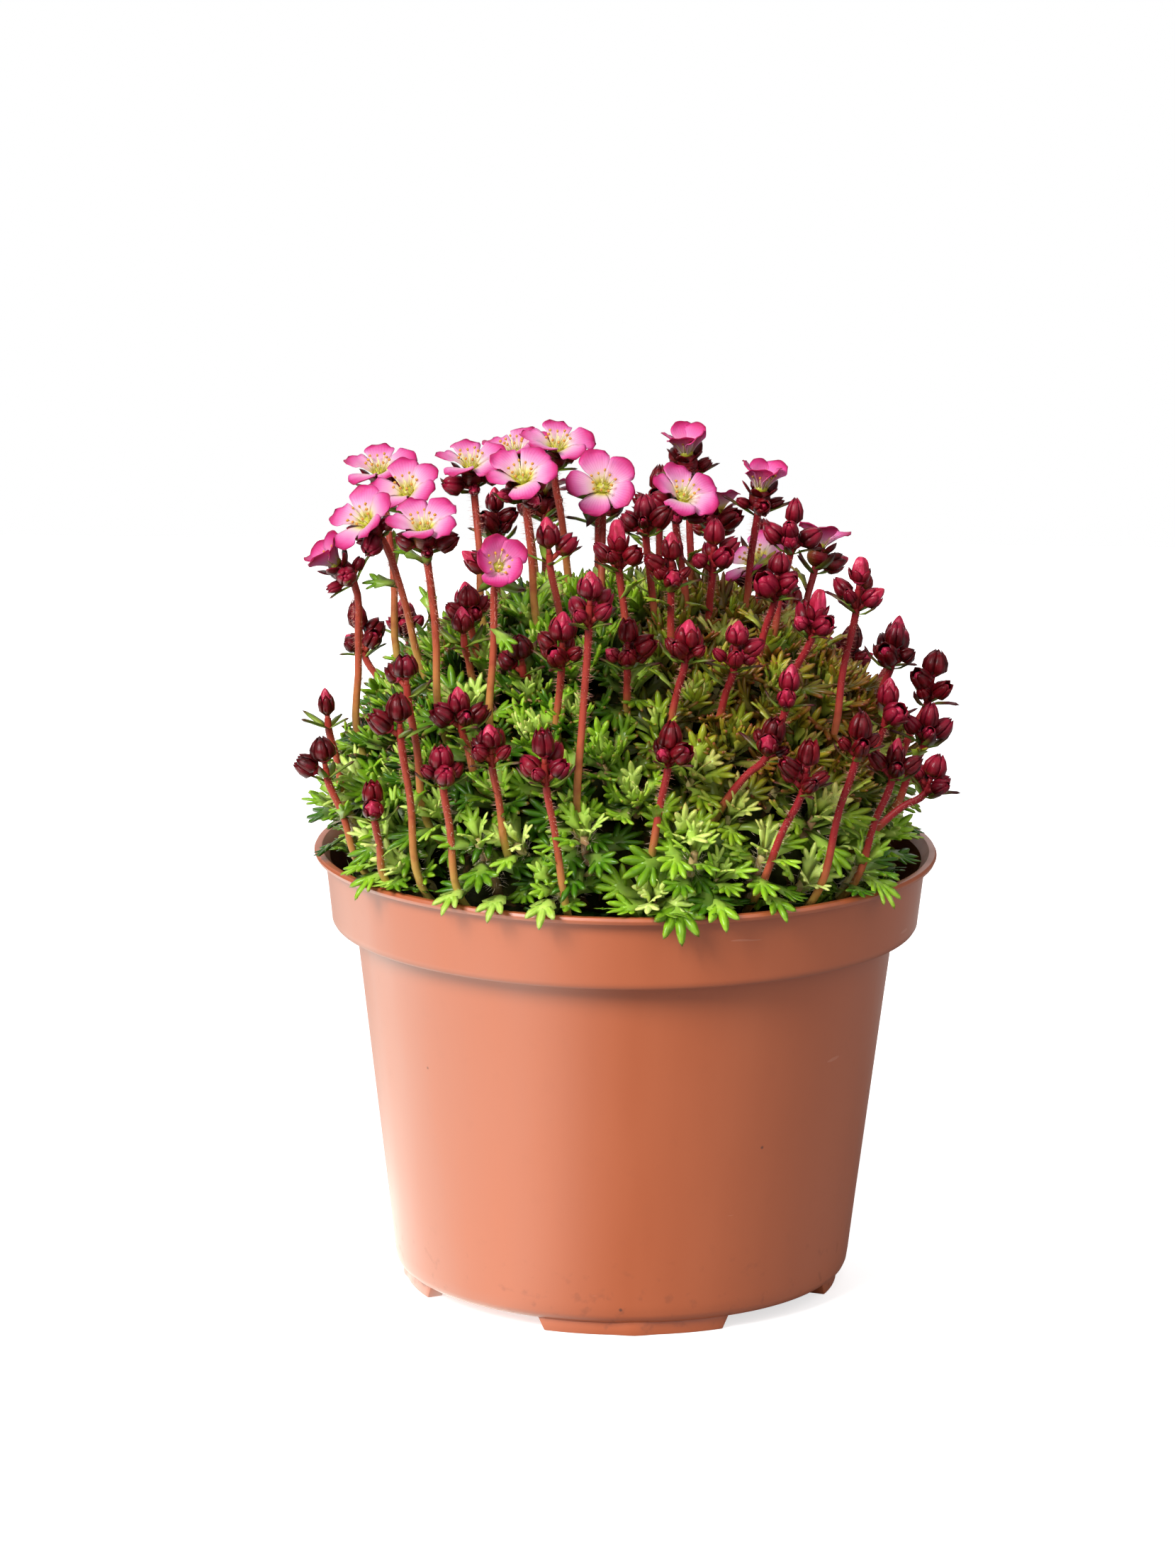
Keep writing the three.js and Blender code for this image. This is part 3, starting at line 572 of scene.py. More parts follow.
def rosette(seed, leaves, count, long, lifts, drop, wool):
    """A shoot along +Z, in millimetres, with a golden spiral of leaves from low outer to small upright."""
    drawn = random.Random(seed)
    bpy.ops.mesh.primitive_cone_add(
        vertices=8, radius1=1.25, radius2=0.7, depth=8 + drop, location=(0, 0, -4 - drop / 2))
    shoot = smooth_mesh(leafy)
    shift_uv(shoot, -1, 0)
    stamp(shoot, "tint", 0.5)
    parts = [copy_of(shoot, Matrix.Identity(4))]
    for i in range(count):
        share = i / (count - 1)
        kind = leaves[0 if share < 0.5 else 1 if share < 0.85 else 2]
        length = long * (1 - 0.5 * share ** 1.5) * drawn.uniform(0.86, 1.12)
        lift = radians(lifts[0] + (lifts[1] - lifts[0]) * share ** 0.8 + drawn.uniform(-9, 9))
        turn = Matrix.Rotation(radians(GOLDEN_ANGLE * i + drawn.uniform(-14, 14)), 4, "Z")
        sway = Matrix.Rotation(radians(drawn.uniform(-16, 16)), 4, "X")
        place = Matrix.Translation((0.55, 0, -drop * (1 - share) ** 1.3))
        pitch = Matrix.Rotation(-lift, 4, "Y")
        part = copy_of(kind, turn @ place @ pitch @ sway @ Matrix.Scale(length, 4))
        stamp(part.data, "tint", 0.14 + 0.62 * share + drawn.uniform(-0.16, 0.16))
        parts.append(part)
    places, ways = fringe(parts[1:7], drawn)
    for i in range(wool):
        a = drawn.uniform(0, 2 * pi)
        out = Vector((cos(a), sin(a), 0))
        places.append(out * drawn.uniform(0.9, 1.6) + Vector((0, 0, -(drop + 3) * drawn.random())))
        stray = Vector((drawn.uniform(-1, 1), drawn.uniform(-1, 1), drawn.uniform(-0.6, 0.9)))
        ways.append((out + stray).normalized())
    parts.append(hairs(places, ways, 1.7, 0.04))
    return taken(join(parts, "rosette"))


OPEN = [rosette(s, SPREAD, 12, 13.6, (2, 76), 4.5, 0) for s in (1, 2, 3)]
TIGHT = [rosette(s, UPRIGHT, 13, 12, (30, 82), 3, 0) for s in (4, 5, 6)]
LEGGY = [rosette(s, SPREAD, 11, 12.4, (-12, 70), 9, 130) for s in (7, 8)]
ROSETTES = 150
# A long shoot in front is [degrees from -Y towards +X, height over the rim], and a leaf that hangs over the
# lip is [x, how far it hangs].
FRONT_SHOOTS = [[-76, 8], [-68, 14], [-52, 5], [-29, 9], [-8, 12], [13, 8.5], [27, 8], [50, 3]]
HANGING = [[-47.8, 2.2], [-32, 0.5], [-24, 0.8], [-15, 1.5], [10, 6.3], [17.5, 2.2], [28, 0.5], [47.7, 3.3]]
quarters = {"front_left": [], "front_right": [], "back_left": [], "back_right": []}
rng = random.Random(11)


def planted(made, at):
    """Keeps a leafy piece with its quarter of the cushion, and varies its green a little."""
    values = np.zeros(len(made.data.vertices), dtype=np.float32)
    tint = made.data.attributes["tint"].data
    tint.foreach_get("value", values)
    tint.foreach_set("value", values + rng.uniform(-0.2, 0.26))
    quarters[("front" if at.y < 0 else "back") + ("_left" if at.x < 0 else "_right")].append(made)


def plant(mesh, at, axis, size):
    """Sets a copy of a rosette at a place in millimetres, along its axis. Its leaves lie on the lip."""
    turn = UP.rotation_difference(axis.normalized()).to_matrix().to_4x4()
    spin = Matrix.Rotation(rng.uniform(0, 2 * pi), 4, "Z")
    made = copy_of(mesh, Matrix.Translation(at) @ turn @ spin @ Matrix.Scale(size, 4))
    for point in made.data.vertices if at.z < RIM_TOP + 22 else ():
        near = min(max((point.co.xy.length - 52.5) / 2.5, 0), 1)
        over = point.co.z - RIM_TOP - 0.9
        lifted = log(1 + exp(min(over, 20) / 0.8)) * 0.8 if over < 16 else over
        point.co.z += near * (lifted - over)
    made.data.transform(Matrix.Scale(MM, 4))
    planted(made, at)


steps = 400
line = [(MOUND_RADIUS * sin(0.5 * pi * i / steps)) for i in range(steps + 1)]
line = [(r, mound_height(r)) for r in line]
areas = [0]
for (r0, h0), (r1, h1) in zip(line, line[1:]):
    areas.append(areas[-1] + (r0 + r1) * hypot(r1 - r0, h1 - h0))
for k in range(ROSETTES):
    i = int(np.searchsorted(areas, areas[-1] * (k + 0.5) / ROSETTES))
    (r0, h0), (r1, h1) = line[i - 1], line[i]
    a = k * pi * (3 - sqrt(5))
    out = Vector((cos(a), sin(a), 0))
    slope = Vector((h0 - h1, r1 - r0)).normalized()
    low = h1 < 15
    bare = h1 < 9 and (out.x > 0.75 or out.x < -0.93)
    kinds = LEGGY if low and k % 3 == 0 else OPEN if low or k % 3 == 0 else TIGHT
    axis = out * slope.x + Vector((0, 0, slope.y + 0.25 + 0.3 * slope.x))
    axis += Vector((rng.uniform(-0.22, 0.22), rng.uniform(-0.22, 0.22), 0))
    sunk = 5 if bare else 1.5
    at = out * (r1 - sunk) + Vector((rng.uniform(-1.2, 1.2), rng.uniform(-1.2, 1.2), RIM_TOP + 0.8 + h1))
    if low and k % 5 == 0 and not bare:
        continue
    plant(rng.choice(kinds), at, axis, rng.uniform(0.9, 1.1))
for angle, h in FRONT_SHOOTS:
    r = MOUND_RADIUS * (1 - (h / MOUND_HEIGHT) ** (1 / 0.6)) ** (1 / 2.4)
    out = Vector((sin(radians(angle)), -cos(radians(angle)), 0))
    plant(rng.choice(LEGGY), out * (r + 2) + UP * (RIM_TOP + h + 3), out * 0.7 + UP, 1.05)
for x, depth in HANGING:
    long = 11 + depth * 0.8
    made = copy_of(leaf(*(FIVE if depth > 3 else THREE), 25, -60 - 4 * depth), Matrix.Scale(long * MM, 4))
    stamp(made.data, "tint", 0.5)
    out = Vector((x / RIM_RADIUS, -sqrt(1 - (x / RIM_RADIUS) ** 2), 0))
    at = out * (62.6 - 0.74 * long) + UP * (RIM_TOP + 1.6)
    made.data.transform(Matrix.Translation(at * MM) @ Matrix.Rotation(atan2(out.y, out.x), 4, "Z"))
    planted(made, at)
for name, parts in quarters.items():
    piece = join(parts, "rosettes_" + name)
    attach(piece, "root")
    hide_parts("cushion")


# Sprays
# Each flower stem is thin, coral red and set with fine hairs. It ends in narrow bracts, a few glossy dark
# maroon buds, and on some the calyx of an open flower.
STEM_RADIUS = 0.85
NODE_LENGTH = 2.2
# A stem is [root x, root y, head x, head y, head height over the rim, side buds], and an open flower adds
# how far it leans to +X and to +Y. The stems of one line stand on one foot.
SPRAYS = [
    [[-50, -11, -55, -14, 57, 2, -0.9, -0.2], [-38, -12, -49, -20, 66, 2, -0.8, -0.8]],
    [[-43, 6, -48, 12, 70, 1, -0.15, -0.35], [-35, -3, -42, -4, 69, 1, -0.25, -0.6]],
    [[-34, -31, -38, -33, 67, 3, -0.1, -0.45], [-29, -23, -31, -25, 49, 0]],
    [[-27, -8, -30, -4, 74, 2, -0.1, -0.35], [-28, -19, -30, -20, 52, 2]],
    [[-17, 13, -22, 18, 73, 0, -0.2, -0.2], [-11, 8, -14, 6, 76, 1, 0.1, -0.4]],
    [[-17, -14, -20, -18, 74, 2, -0.1, -0.6], [-5, -9, -5, -8, 71, 1, 0, -1.3]],
    [[-25, -38, -24, -43, 62, 1, 0.25, -1.5], [-18, -30, -20, -33, 45, 1]],
    [[-11, -30, -15, -32, 66, 1], [-13, -41, -12, -46, 49, 3]],
    [[-9, -52, -7, -52, 58, 3]],
    [[0, -25, -2, -26, 64, 2], [5, -17, 3, -19, 69, 2]],
    [[11, -11, 10, -13, 70, 2, 0.3, -0.7], [8, -25, 8, -28, 61, 3]],
    [[12, 12, 11, 14, 74, 2, -0.1, -0.25]],
    [[15, -16, 16, -18, 62, 3], [27, -12, 31, -12, 65, 3]],
    [[22, -1, 25, -2, 70, 2, 0.1, -0.2]],
    [[25, 9, 25, 6, 54, 1, -0.6, -0.3], [33, 15, 37, 20, 55, 1, 0.2, 0.2]],
    [[24, -22, 28, -25, 58, 3], [28, -31, 35, -35, 53, 2]],
    [[38, -28, 43, -28, 57, 3], [46, -22, 49, -25, 35, 1]],
    [[47, -3, 51, -5, 42, 2], [51, -10, 58, -11, 36, 3]],
    [[51, -18, 57, -21, 30, 2], [47, -28, 58, -28, 22, 2]],
    [[43, -37, 50, -40, 27, 2], [36, -44, 43, -47, 33, 2]],
    [[25, -50, 33, -56, 28, 3], [18, -48, 27, -53, 34, 2]],
    [[5, -54, 8, -57, 33, 2]],
    [[-11, -56, -15, -60, 30, 3]],
    [[-22, -50, -25, -56, 33, 2], [-28, -41, -31, -45, 37, 2]],
    [[-31, -48, -34, -52, 28, 2], [-38, -43, -42, -48, 36, 1]],
    [[-37, -39, -41, -42, 43, 1]],
    [[-45, -38, -47, -42, 19, 1], [-50, -28, -57, -28, 24, 1]],
    [[-53, -14, -57, -16, 31, 0]],
    [[0, -38, 0, -42, 48, 3], [8, -41, 11, -46, 50, 2]],
    [[17, -38, 20, -43, 48, 3], [26, -40, 30, -42, 41, 1]],
]


def draw(i, k):
    """A repeatable draw from 0 to 1 for the place i and the use k."""
    s = sin(i * 127.1 + k * 311.7) * 43758.5453
    return s - floor(s)


def back_stem(row, i, count, radius, height, lean, start, blooms):
    """A stem at the back, one of a row of count along an arc."""
    a = pi * (start + (1 - 2 * start) * (i + 0.5) / count)
    out = (cos(a), sin(a))
    root = [floor(c * radius + 0.5) for c in out]
    top = [floor(c * (radius + lean) + 0.5) for c in out]
    stem = [*root, *top, floor(height + 6 * draw(i, row) + 0.5), 1 + i % 3]
    return stem + [0.2 * out[0], 0.4] if i in blooms else stem


inner_row = [back_stem(0, i, 6, 32, 58, 2, 0.16, (1, 4)) for i in range(6)]
outer_row = [back_stem(1, i, 9, 49, 33, 6, 0.06, ()) for i in range(9)]
SPRAYS += [[stem, inner_row[i - 1 - i // 4]] if i % 4 else [stem] for i, stem in enumerate(outer_row)]


def on_mound(x, y):
    """The place where the cushion ends over a point of the plan."""
    return Vector((x, y, RIM_TOP + mound_height(hypot(x, y))))


def routes(stems):
    """Each stem of a spray as the points that it runs through, the axis of its head and a corner's way."""
    middle = [sum(stem[i] for stem in stems) / len(stems) for i in (0, 1)]
    way = (on_mound(*middle) - Vector((0, 0, RIM_TOP + MOUND_HEIGHT / 4))).normalized()
    first, second = stems[0], stems[1] if len(stems) > 1 else [stems[0][0] + 1, stems[0][1]]
    spread = Vector((second[0] - first[0], second[1] - first[1], 0)).normalized()
    toward = Matrix.Rotation(-pi / 4, 3, way) @ spread
    u, v = across_of(way, toward)
    made = []
    for stem, corner in zip(stems, (toward, (u - v) * STEM_RADIUS / 2 - way * 0.9)):
        root = on_mound(*stem[:2]) + UP * 2
        top = Vector((stem[2], stem[3], RIM_TOP + stem[4]))
        axis = Vector((stem[6], stem[7], 1)).normalized() if len(stem) > 6 else None
        last = axis or ((top - root).normalized() + UP).normalized()
        end = top - last * (4.7 if axis else 5.5)
        bend = root.lerp(end, 0.55)
        bend.z += 0.06 * (end - root).length
        foot = Vector((root.x * 0.85, root.y * 0.85, root.z - 8))
        made.append({"points": [foot, root, bend, end], "axis": last, "corner": corner})
    return made


def tube(points, widths, material):
    """A round stem through points in millimetres."""
    curve = bpy.data.curves.new("stem", "CURVE")
    curve.dimensions = "3D"
    curve.bevel_depth = 1
    curve.bevel_resolution = 2
    curve.resolution_u = 5
    curve.use_fill_caps = True
    spline = curve.splines.new("BEZIER")
    spline.bezier_points.add(len(points) - 1)
    for knot, point, width in zip(spline.bezier_points, points, widths):
        knot.co = point * MM
        knot.radius = width * MM
        knot.handle_left_type = knot.handle_right_type = "AUTO"
    alone(new_object("stem", curve))
    bpy.ops.object.convert(target="MESH")
    made = bpy.context.object
    bpy.ops.object.shade_smooth()
    made.data.uv_layers.new(name="UVMap")
    made.data.materials.append(material)
    return made


petal_bud, at, shader = look("petal_bud", 0.38, specular=0.35)
fold = at.scaled(1, 1, 0.5).noise(600, 3.0)
feed(shader, Base_Color=fold.step(0.3, 0.7).blend((0.32, 0.006, 0.025), (0.62, 0.03, 0.1)),
     Normal=fold.bump(0.8, 0.0008))
maroon, at, shader = look("sepal", 0.33, specular=0.22)
along, across, _ = at.node("UVMap", uv_map="UVMap").xyz()
grain = at.noise(700, 3.0)
patch = at.noise(120)
colour = (grain * 0.5 + patch * 0.6).step(0.35, 0.8).blend((0.034, 0.0006, 0.001), (0.2, 0.003, 0.009))
ripe = at.noise(40, 1.0).step(0.48, 0.6) * along.step(0.1, 0.9)
colour = (ripe * 0.6).blend(colour, (0.38, 0.01, 0.045))
warm = (1 - along.step(0.0, 0.3)) * patch.step(0.45, 0.62)
colour = (warm * 0.5).blend(colour, (0.2, 0.16, 0.02))
midline = 1 - abs(across - 0.5).step(0.0, 0.12)
colour = (midline * 0.25).blend(colour, (0.3, 0.015, 0.035))
veins = (across * 50).math("SINE").step(0.6, 1.0) * grain
feed(shader, Base_Color=colour, Roughness=0.24 + grain * 0.15,
     Normal=(veins + grain).bump(0.3, 0.0003))
coral, at, shader = look("stem", 0.45, specular=0.25)
rise = at.node("Attribute", out=2, attribute_name="rise")
# Stems on the left, towards the key light, get the paler ramp and those on the right the deeper one: painted
# light and shade by side.
side = at.xyz()[0].step(-0.03, 0.02)
pale = rise.ramp((0, (0.5, 0.42, 0.08)), (0.25, (0.52, 0.25, 0.06)), (0.55, (0.46, 0.09, 0.04)),
                 (1, (0.36, 0.035, 0.025)))
shaded_deep = rise.ramp((0, (0.48, 0.3, 0.06)), (0.18, (0.46, 0.12, 0.045)), (0.45, (0.38, 0.026, 0.028)),
                 (1, (0.27, 0.01, 0.018)))
mottle = at.noise(400, 3.0)
colour = (mottle.step(0.45, 0.7) * 0.4).blend(side.blend(pale, shaded_deep), (0.26, 0.02, 0.015))
feed(shader, Base_Color=colour, Normal=mottle.bump(0.35, 0.0003))
bract_green, at, shader = look("bract", 0.42, specular=0.3)
along = at.node("UVMap", uv_map="UVMap").xyz()[0]
tone = along + at.noise(200) * 0.5 + at.xyz()[0] * 3
colour = tone.ramp((0.2, (0.26, 0.34, 0.03)), (0.6, (0.14, 0.22, 0.02)), (0.85, (0.1, 0.05, 0.015)),
                   (1.1, (0.06, 0.006, 0.008)))
feed(shader, Base_Color=colour, Normal=at.noise(600).bump(0.3, 0.0003))


def bud_radius(h):
    """How wide a bud is, from 0 to 1, at the share h of its height."""
    return sin(pi * min(max(h, 0), 1) ** 0.8) ** 0.75


def petal_heart(high, blunt, folds):
    """The folded petals inside a bud of radius 1 and height 1, up to the height high."""
    bpy.ops.mesh.primitive_uv_sphere_add(segments=20, ring_count=10, radius=1)
    heart = smooth_mesh(petal_bud)
    for point in heart.vertices:
        h = 0.5 + 0.5 * point.co.z
        a = atan2(point.co.y, point.co.x)
        r = 0.9 * bud_radius(h) ** blunt * (1 + folds * h * cos(5 * a + 4 * h))
        point.co = (r * cos(a), r * sin(a), h * high)
    return heart


def bud(high, flare, heart):
    """Five sepals wrapped round folded petals, each with one edge under its neighbour."""
    parts = [copy_of(heart, Matrix.Identity(4))]
    for i in range(5):
        part = copy_of(sepal, Matrix.Identity(4))
        for point in part.data.vertices:
            x, y, z = point.co
            h = 0.01 + (high - 0.01) * x
            r = bud_radius(h) + 0.06 + 1.25 * max(z, 0) + 0.1 * y + flare * max(x - 0.6, 0) ** 2
            a = 2 * pi * i / 5 + y * 1.5 / max(bud_radius(h), 0.3)
            point.co = (r * cos(a), r * sin(a), h)
        parts.append(part)
    return taken(join(parts, "bud"))


sepal = lens([(0, 0.35), (0.28, 0.5), (0.56, 0.47), (0.8, 0.27)], 0.16, 4, maroon)
BUDS = {"shut": bud(1.04, 1.1, petal_heart(0.95, 1, 0.05)),
        "spiky": bud(1.02, 3.4, petal_heart(0.9, 1, 0.1)),
        "opening": bud(0.87, 1.5, petal_heart(1.1, 0.9, 0.16)),
        "bursting": bud(0.64, 2.2, petal_heart(1.08, 0.45, 0.2))}
bract_blade = lens([(0, 0.24), (0.3, 0.5), (0.66, 0.42), (0.88, 0.2)], 0.5, 2, bract_green)
BRACTS = [arched(taken(copy_of(bract_blade, Matrix.Diagonal((1, 0.3, 0.08, 1)))), *bend)
          for bend in ((30, 4), (10, 64), (32, 22))]
STEM_LEAVES = [leaf(*THREE, 40, 0), leaf(*TWO, 30, 52), leaf(*TWO, 55, 20)]
for blade in STEM_LEAVES:
    stamp(blade, "tint", 0.5)
bpy.ops.mesh.primitive_cylinder_add(vertices=8, radius=1, depth=1, location=(0, 0, 0.5))
stub = smooth_mesh(coral)
stamp(stub, "rise", 0.9)
bpy.ops.mesh.primitive_uv_sphere_add(segments=16, ring_count=10, radius=1)
cup = smooth_mesh(maroon)
cup.transform(Matrix.Translation((0, 0, 3)) @ Matrix.Diagonal((2.1, 2.1, 2.1, 1)))


def set_on(mesh, place, axis, shape=(1, 1, 1), spin=0.0):
    """A copy of a mesh that stands along +Z, set at a place in millimetres along an axis."""
    turn = UP.rotation_difference(axis).to_matrix().to_4x4() @ Matrix.Rotation(spin, 4, "Z")
    shape = Matrix.Diagonal((*shape, 1)) @ Matrix.Scale(MM, 4)
    return copy_of(mesh, Matrix.Translation(place * MM) @ turn @ shape)


def stalked_bud(place, axis, neck, size, kind):
    """A bud of a size at the end of its short stalk."""
    size *= rng.uniform(0.82, 1.04)
    slim = rng.uniform(0.78, 1.08)
    shape = (2.1 * size * slim, 2.1 * size * slim, 5.5 * size / slim ** 0.5)
    if kind == "shut" and rng.random() < 0.4:
        kind = "spiky"
    return [set_on(stub, place, axis, (0.5, 0.5, neck + 0.4)),
            set_on(BUDS[kind], place + axis * neck, axis, shape, rng.uniform(0, 6))]


def set_bract(blade, place, out, axis, length):
    """A narrow leaf that leaves the stem at a place."""
    out, side = across_of(axis, out)
    turn = Matrix((out, side, axis)).transposed().to_4x4()
    return copy_of(blade, Matrix.Translation(place * MM) @ turn @ Matrix.Scale(length * MM, 4))


def fur(points, axis, count):
    """Fine hairs that stand out from a stem between its root, bend and end."""
    root, bend, end = points
    u, v = across_of(axis, Vector((1, 0.3, 0)))
    places, ways = [], []
    for i in range(count):
        t = 2 * rng.random() ** 0.85
        a = rng.uniform(0, 2 * pi)
        way = u * cos(a) + v * sin(a)
        middle = root.lerp(bend, t) if t < 1 else bend.lerp(end, t - 1)
        places.append((middle + way * 0.55) * MM)
        ways.append((way + axis * rng.uniform(-0.3, 0.4)).normalized() * rng.uniform(0.6, 1.5))
    return hairs(places, ways, MM, 0.032 * MM)


# Which buds are about to open, as (spray, stem), counted from 0.
BURSTING = {(9, 0), (15, 1), (16, 0)}
rng = random.Random(23)
for n, stems in enumerate(SPRAYS):
    parts = []
    for k, (stem, route) in enumerate(zip(stems, routes(stems))):
        points, axis = route["points"], route["axis"]
        _, root, bend, end = points
        count, open_flower, seed = stem[5], len(stem) > 6, n * 2 + k
        u, v = across_of(axis, route["corner"])
        crown = end + axis * (NODE_LENGTH * (2 if count > 2 and not open_flower else 1))
        stalk = tube([*points, crown], [0.8, 0.76, 0.68, 0.72, 0.66], coral)
        places = np.empty(len(stalk.data.vertices) * 3, dtype=np.float32)
        stalk.data.vertices.foreach_get("co", places)
        rises = (places[2::3] / MM - root.z + 2) / (end.z - root.z + 2)
        stalk.data.attributes.new("rise", "FLOAT", "POINT").data.foreach_set("value", rises)
        parts += [stalk, fur((root, bend, end), axis, int(8 * (end - root).length))]
        for i in range(4):
            a = pi * (0.25 + i / 2) + rng.uniform(-0.25, 0.25)
            way = u * cos(a) + v * sin(a)
            start = end + axis * rng.uniform(0.5, 1.7) + way * 0.35
            parts.append(set_bract(rng.choice(BRACTS), start - axis * 1.1, way, axis, rng.uniform(5, 8)))
            side_bud = i % 2 and count > (i - 1) / 2
            if side_bud or count > 1:
                size = 0.8 + 0.2 * draw(seed, i + 7) if side_bud else 0.62
                lean = way + axis * (0.45 if open_flower else 0.9) + u * rng.uniform(-0.2, 0.2)
                kind = "opening" if draw(seed, i + 20) > 0.86 else "shut"
                parts += stalked_bud(start, lean.normalized(), 1.4, size, kind)
        kind = "bursting" if (n, k) in BURSTING else "opening" if draw(seed, 40) > 0.66 else "shut"
        if open_flower:
            parts.append(set_on(cup, end, axis))
            droop = Matrix.Rotation(radians(-50), 4, "Y") @ Matrix.Diagonal((3.2, 2.7, 1, 1))
            for i in range(5):
                turn = Matrix.Rotation(2 * pi * i / 5 + 0.6, 4, "Z")
                blade = copy_of(sepal, turn @ Matrix.Translation((1.75, 0, 3.9)) @ droop)
                parts.append(set_on(taken(blade), end, axis))
        else:
            if count > 2:
                way = (u + v).normalized()
                lean = (way + axis * 0.7).normalized()
                parts += stalked_bud(end + axis * 3.3 + way * 0.4, lean, 1.0, 0.85, "shut")
            parts += stalked_bud(crown - axis * 0.4, axis, 1.4 if count else 0.8, 1.0, kind)
        if draw(seed, 50) > 0.3:
            where = root.lerp(bend, 0.35 + 0.9 * draw(seed, 51))
            a = 2 * pi * draw(seed, 52)
            way = u * cos(a) + v * sin(a)
            parts.append(set_bract(rng.choice(STEM_LEAVES), where, way, axis, 8))
    piece = join(parts, f"spray_{n + 1:02d}_stems")
    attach(piece, "root")
    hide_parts(f"spray_{n + 1:02d}")


# Open flowers
# Each flower has five broad overlapping petals, hot pink at the edge and pale inside, over a yellow-green
# throat, with ten cream stamens and two styles.
petal_pink, at, shader = look("petal", specular=0.25, Subsurface_Weight=0.1, Subsurface_Scale=0.002)
along, across, _ = at.node("UVMap", uv_map="UVMap").xyz()
tint = at.node("Attribute", out=2, attribute_name="tint")
wide = abs(across - 0.5) * 2
rim = (along ** 4 * 0.7 + wide ** 4 * along * 0.35).step(0.0, 1.0)
shade = along * 0.78 + rim * 0.2 + at.noise(230) * 0.24 + tint - 0.12
colour = shade.ramp(
    (0.02, (0.5, 0.46, 0.02)), (0.12, (0.74, 0.62, 0.12)), (0.21, (0.8, 0.58, 0.52)),
    (0.36, (0.78, 0.36, 0.54)), (0.58, (0.7, 0.14, 0.37)), (0.8, (0.58, 0.03, 0.19)),
    (1.05, (0.36, 0.004, 0.07)))
fan = (across - 0.5) * (1.5 - along * 0.6)
vein = (fan * 62 + at.noise(300) * 1.6).math("SINE").step(0.8, 1.0) * along.step(0.15, 0.4)
colour = (vein * 0.3).blend(colour, (0.46, 0.02, 0.15))
feed(shader, Base_Color=colour,
     Normal=(at.noise(400) - vein * 0.5).bump(0.3, 0.0003))
cream, at, shader = look("filament")
feed(shader, Base_Color=at.noise(400, 1.0).blend((0.66, 0.6, 0.16), (0.85, 0.78, 0.45)))
pollen, at, shader = look("anther", 0.7)
feed(shader, Base_Color=at.noise(900).blend((0.55, 0.2, 0.02), (0.75, 0.4, 0.06)))
throat, at, shader = look("throat", 0.4)
feed(shader, Base_Color=at.noise(500).blend((0.3, 0.36, 0.02), (0.6, 0.52, 0.05)))

HALF_WIDTHS = (0.7, 1.1, 1.5, 1.9, 2.25, 2.55, 2.8, 2.9, 2.8, 2.4, 1.4)
bpy.ops.mesh.primitive_grid_add(x_subdivisions=10, y_subdivisions=8, size=1, location=(0.5, 0, 0))
bpy.ops.object.transform_apply()
bpy.ops.object.mode_set(mode="EDIT")
for i, half in enumerate(HALF_WIDTHS):
    pick(lambda p: abs(p.x - i / 10) < 0.01)
    bpy.ops.transform.resize(value=(1, half * 2, 1), center_override=(i / 10, 0, 0))
bpy.ops.object.mode_set(mode="OBJECT")
petal = smooth_mesh(petal_pink)
for point in petal.vertices:
    x, y = point.co.x, point.co.y
    far = 6 * x - 1.1 * (y / 3) ** 2 * max(x - 0.55, 0) * 2
    rise = 2.5 * (1 - exp(-far / 2.2)) + 0.13 * y * y * (1 - 1.1 * x)
    point.co = (0.8 + far, y, rise)


def stamens():
    """Ten stamens and two styles round a domed ovary, in millimetres along +Z."""
    bpy.ops.mesh.primitive_uv_sphere_add(segments=10, ring_count=6, radius=1)
    ovary = smooth_mesh(throat)
    parts = [copy_of(ovary, Matrix.Translation((0, 0, 0.4)) @ Matrix.Diagonal((1.3, 1.3, 0.9, 1)))]
    bpy.ops.mesh.primitive_cone_add(vertices=5, radius1=0.13, radius2=0.08, depth=1, location=(0, 0, 0.5))
    thread = smooth_mesh(cream)
    bpy.ops.mesh.primitive_ico_sphere_add(subdivisions=1, radius=1)
    anther = smooth_mesh(pollen)
    for i in range(12):
        style = i > 9
        a = 2 * pi * (i / 2 + 0.15 if style else i / 10)
        lean = radians(8 if style else 20 + 9 * (i % 2))
        start = Vector((cos(a), sin(a), 0)) * (0.3 if style else 0.95) + UP * 0.6
        turn = Matrix.Rotation(a, 4, "Z") @ Matrix.Rotation(lean, 4, "Y")
        long = 2.2 if style else 2.7 + 0.3 * (i % 2)
        thick = 2.0 if style else 1.0
        shape = Matrix.Diagonal((thick, thick, long, 1))
        parts.append(copy_of(thread, Matrix.Translation(start) @ turn @ shape))
        top = start + turn.to_3x3() @ UP * long
        if not style:
            shape = Matrix.Diagonal((0.36, 0.26, 0.32, 1))
            parts.append(copy_of(anther, Matrix.Translation(top) @ turn @ shape))
    return taken(join(parts, "stamens"))


centre = stamens()
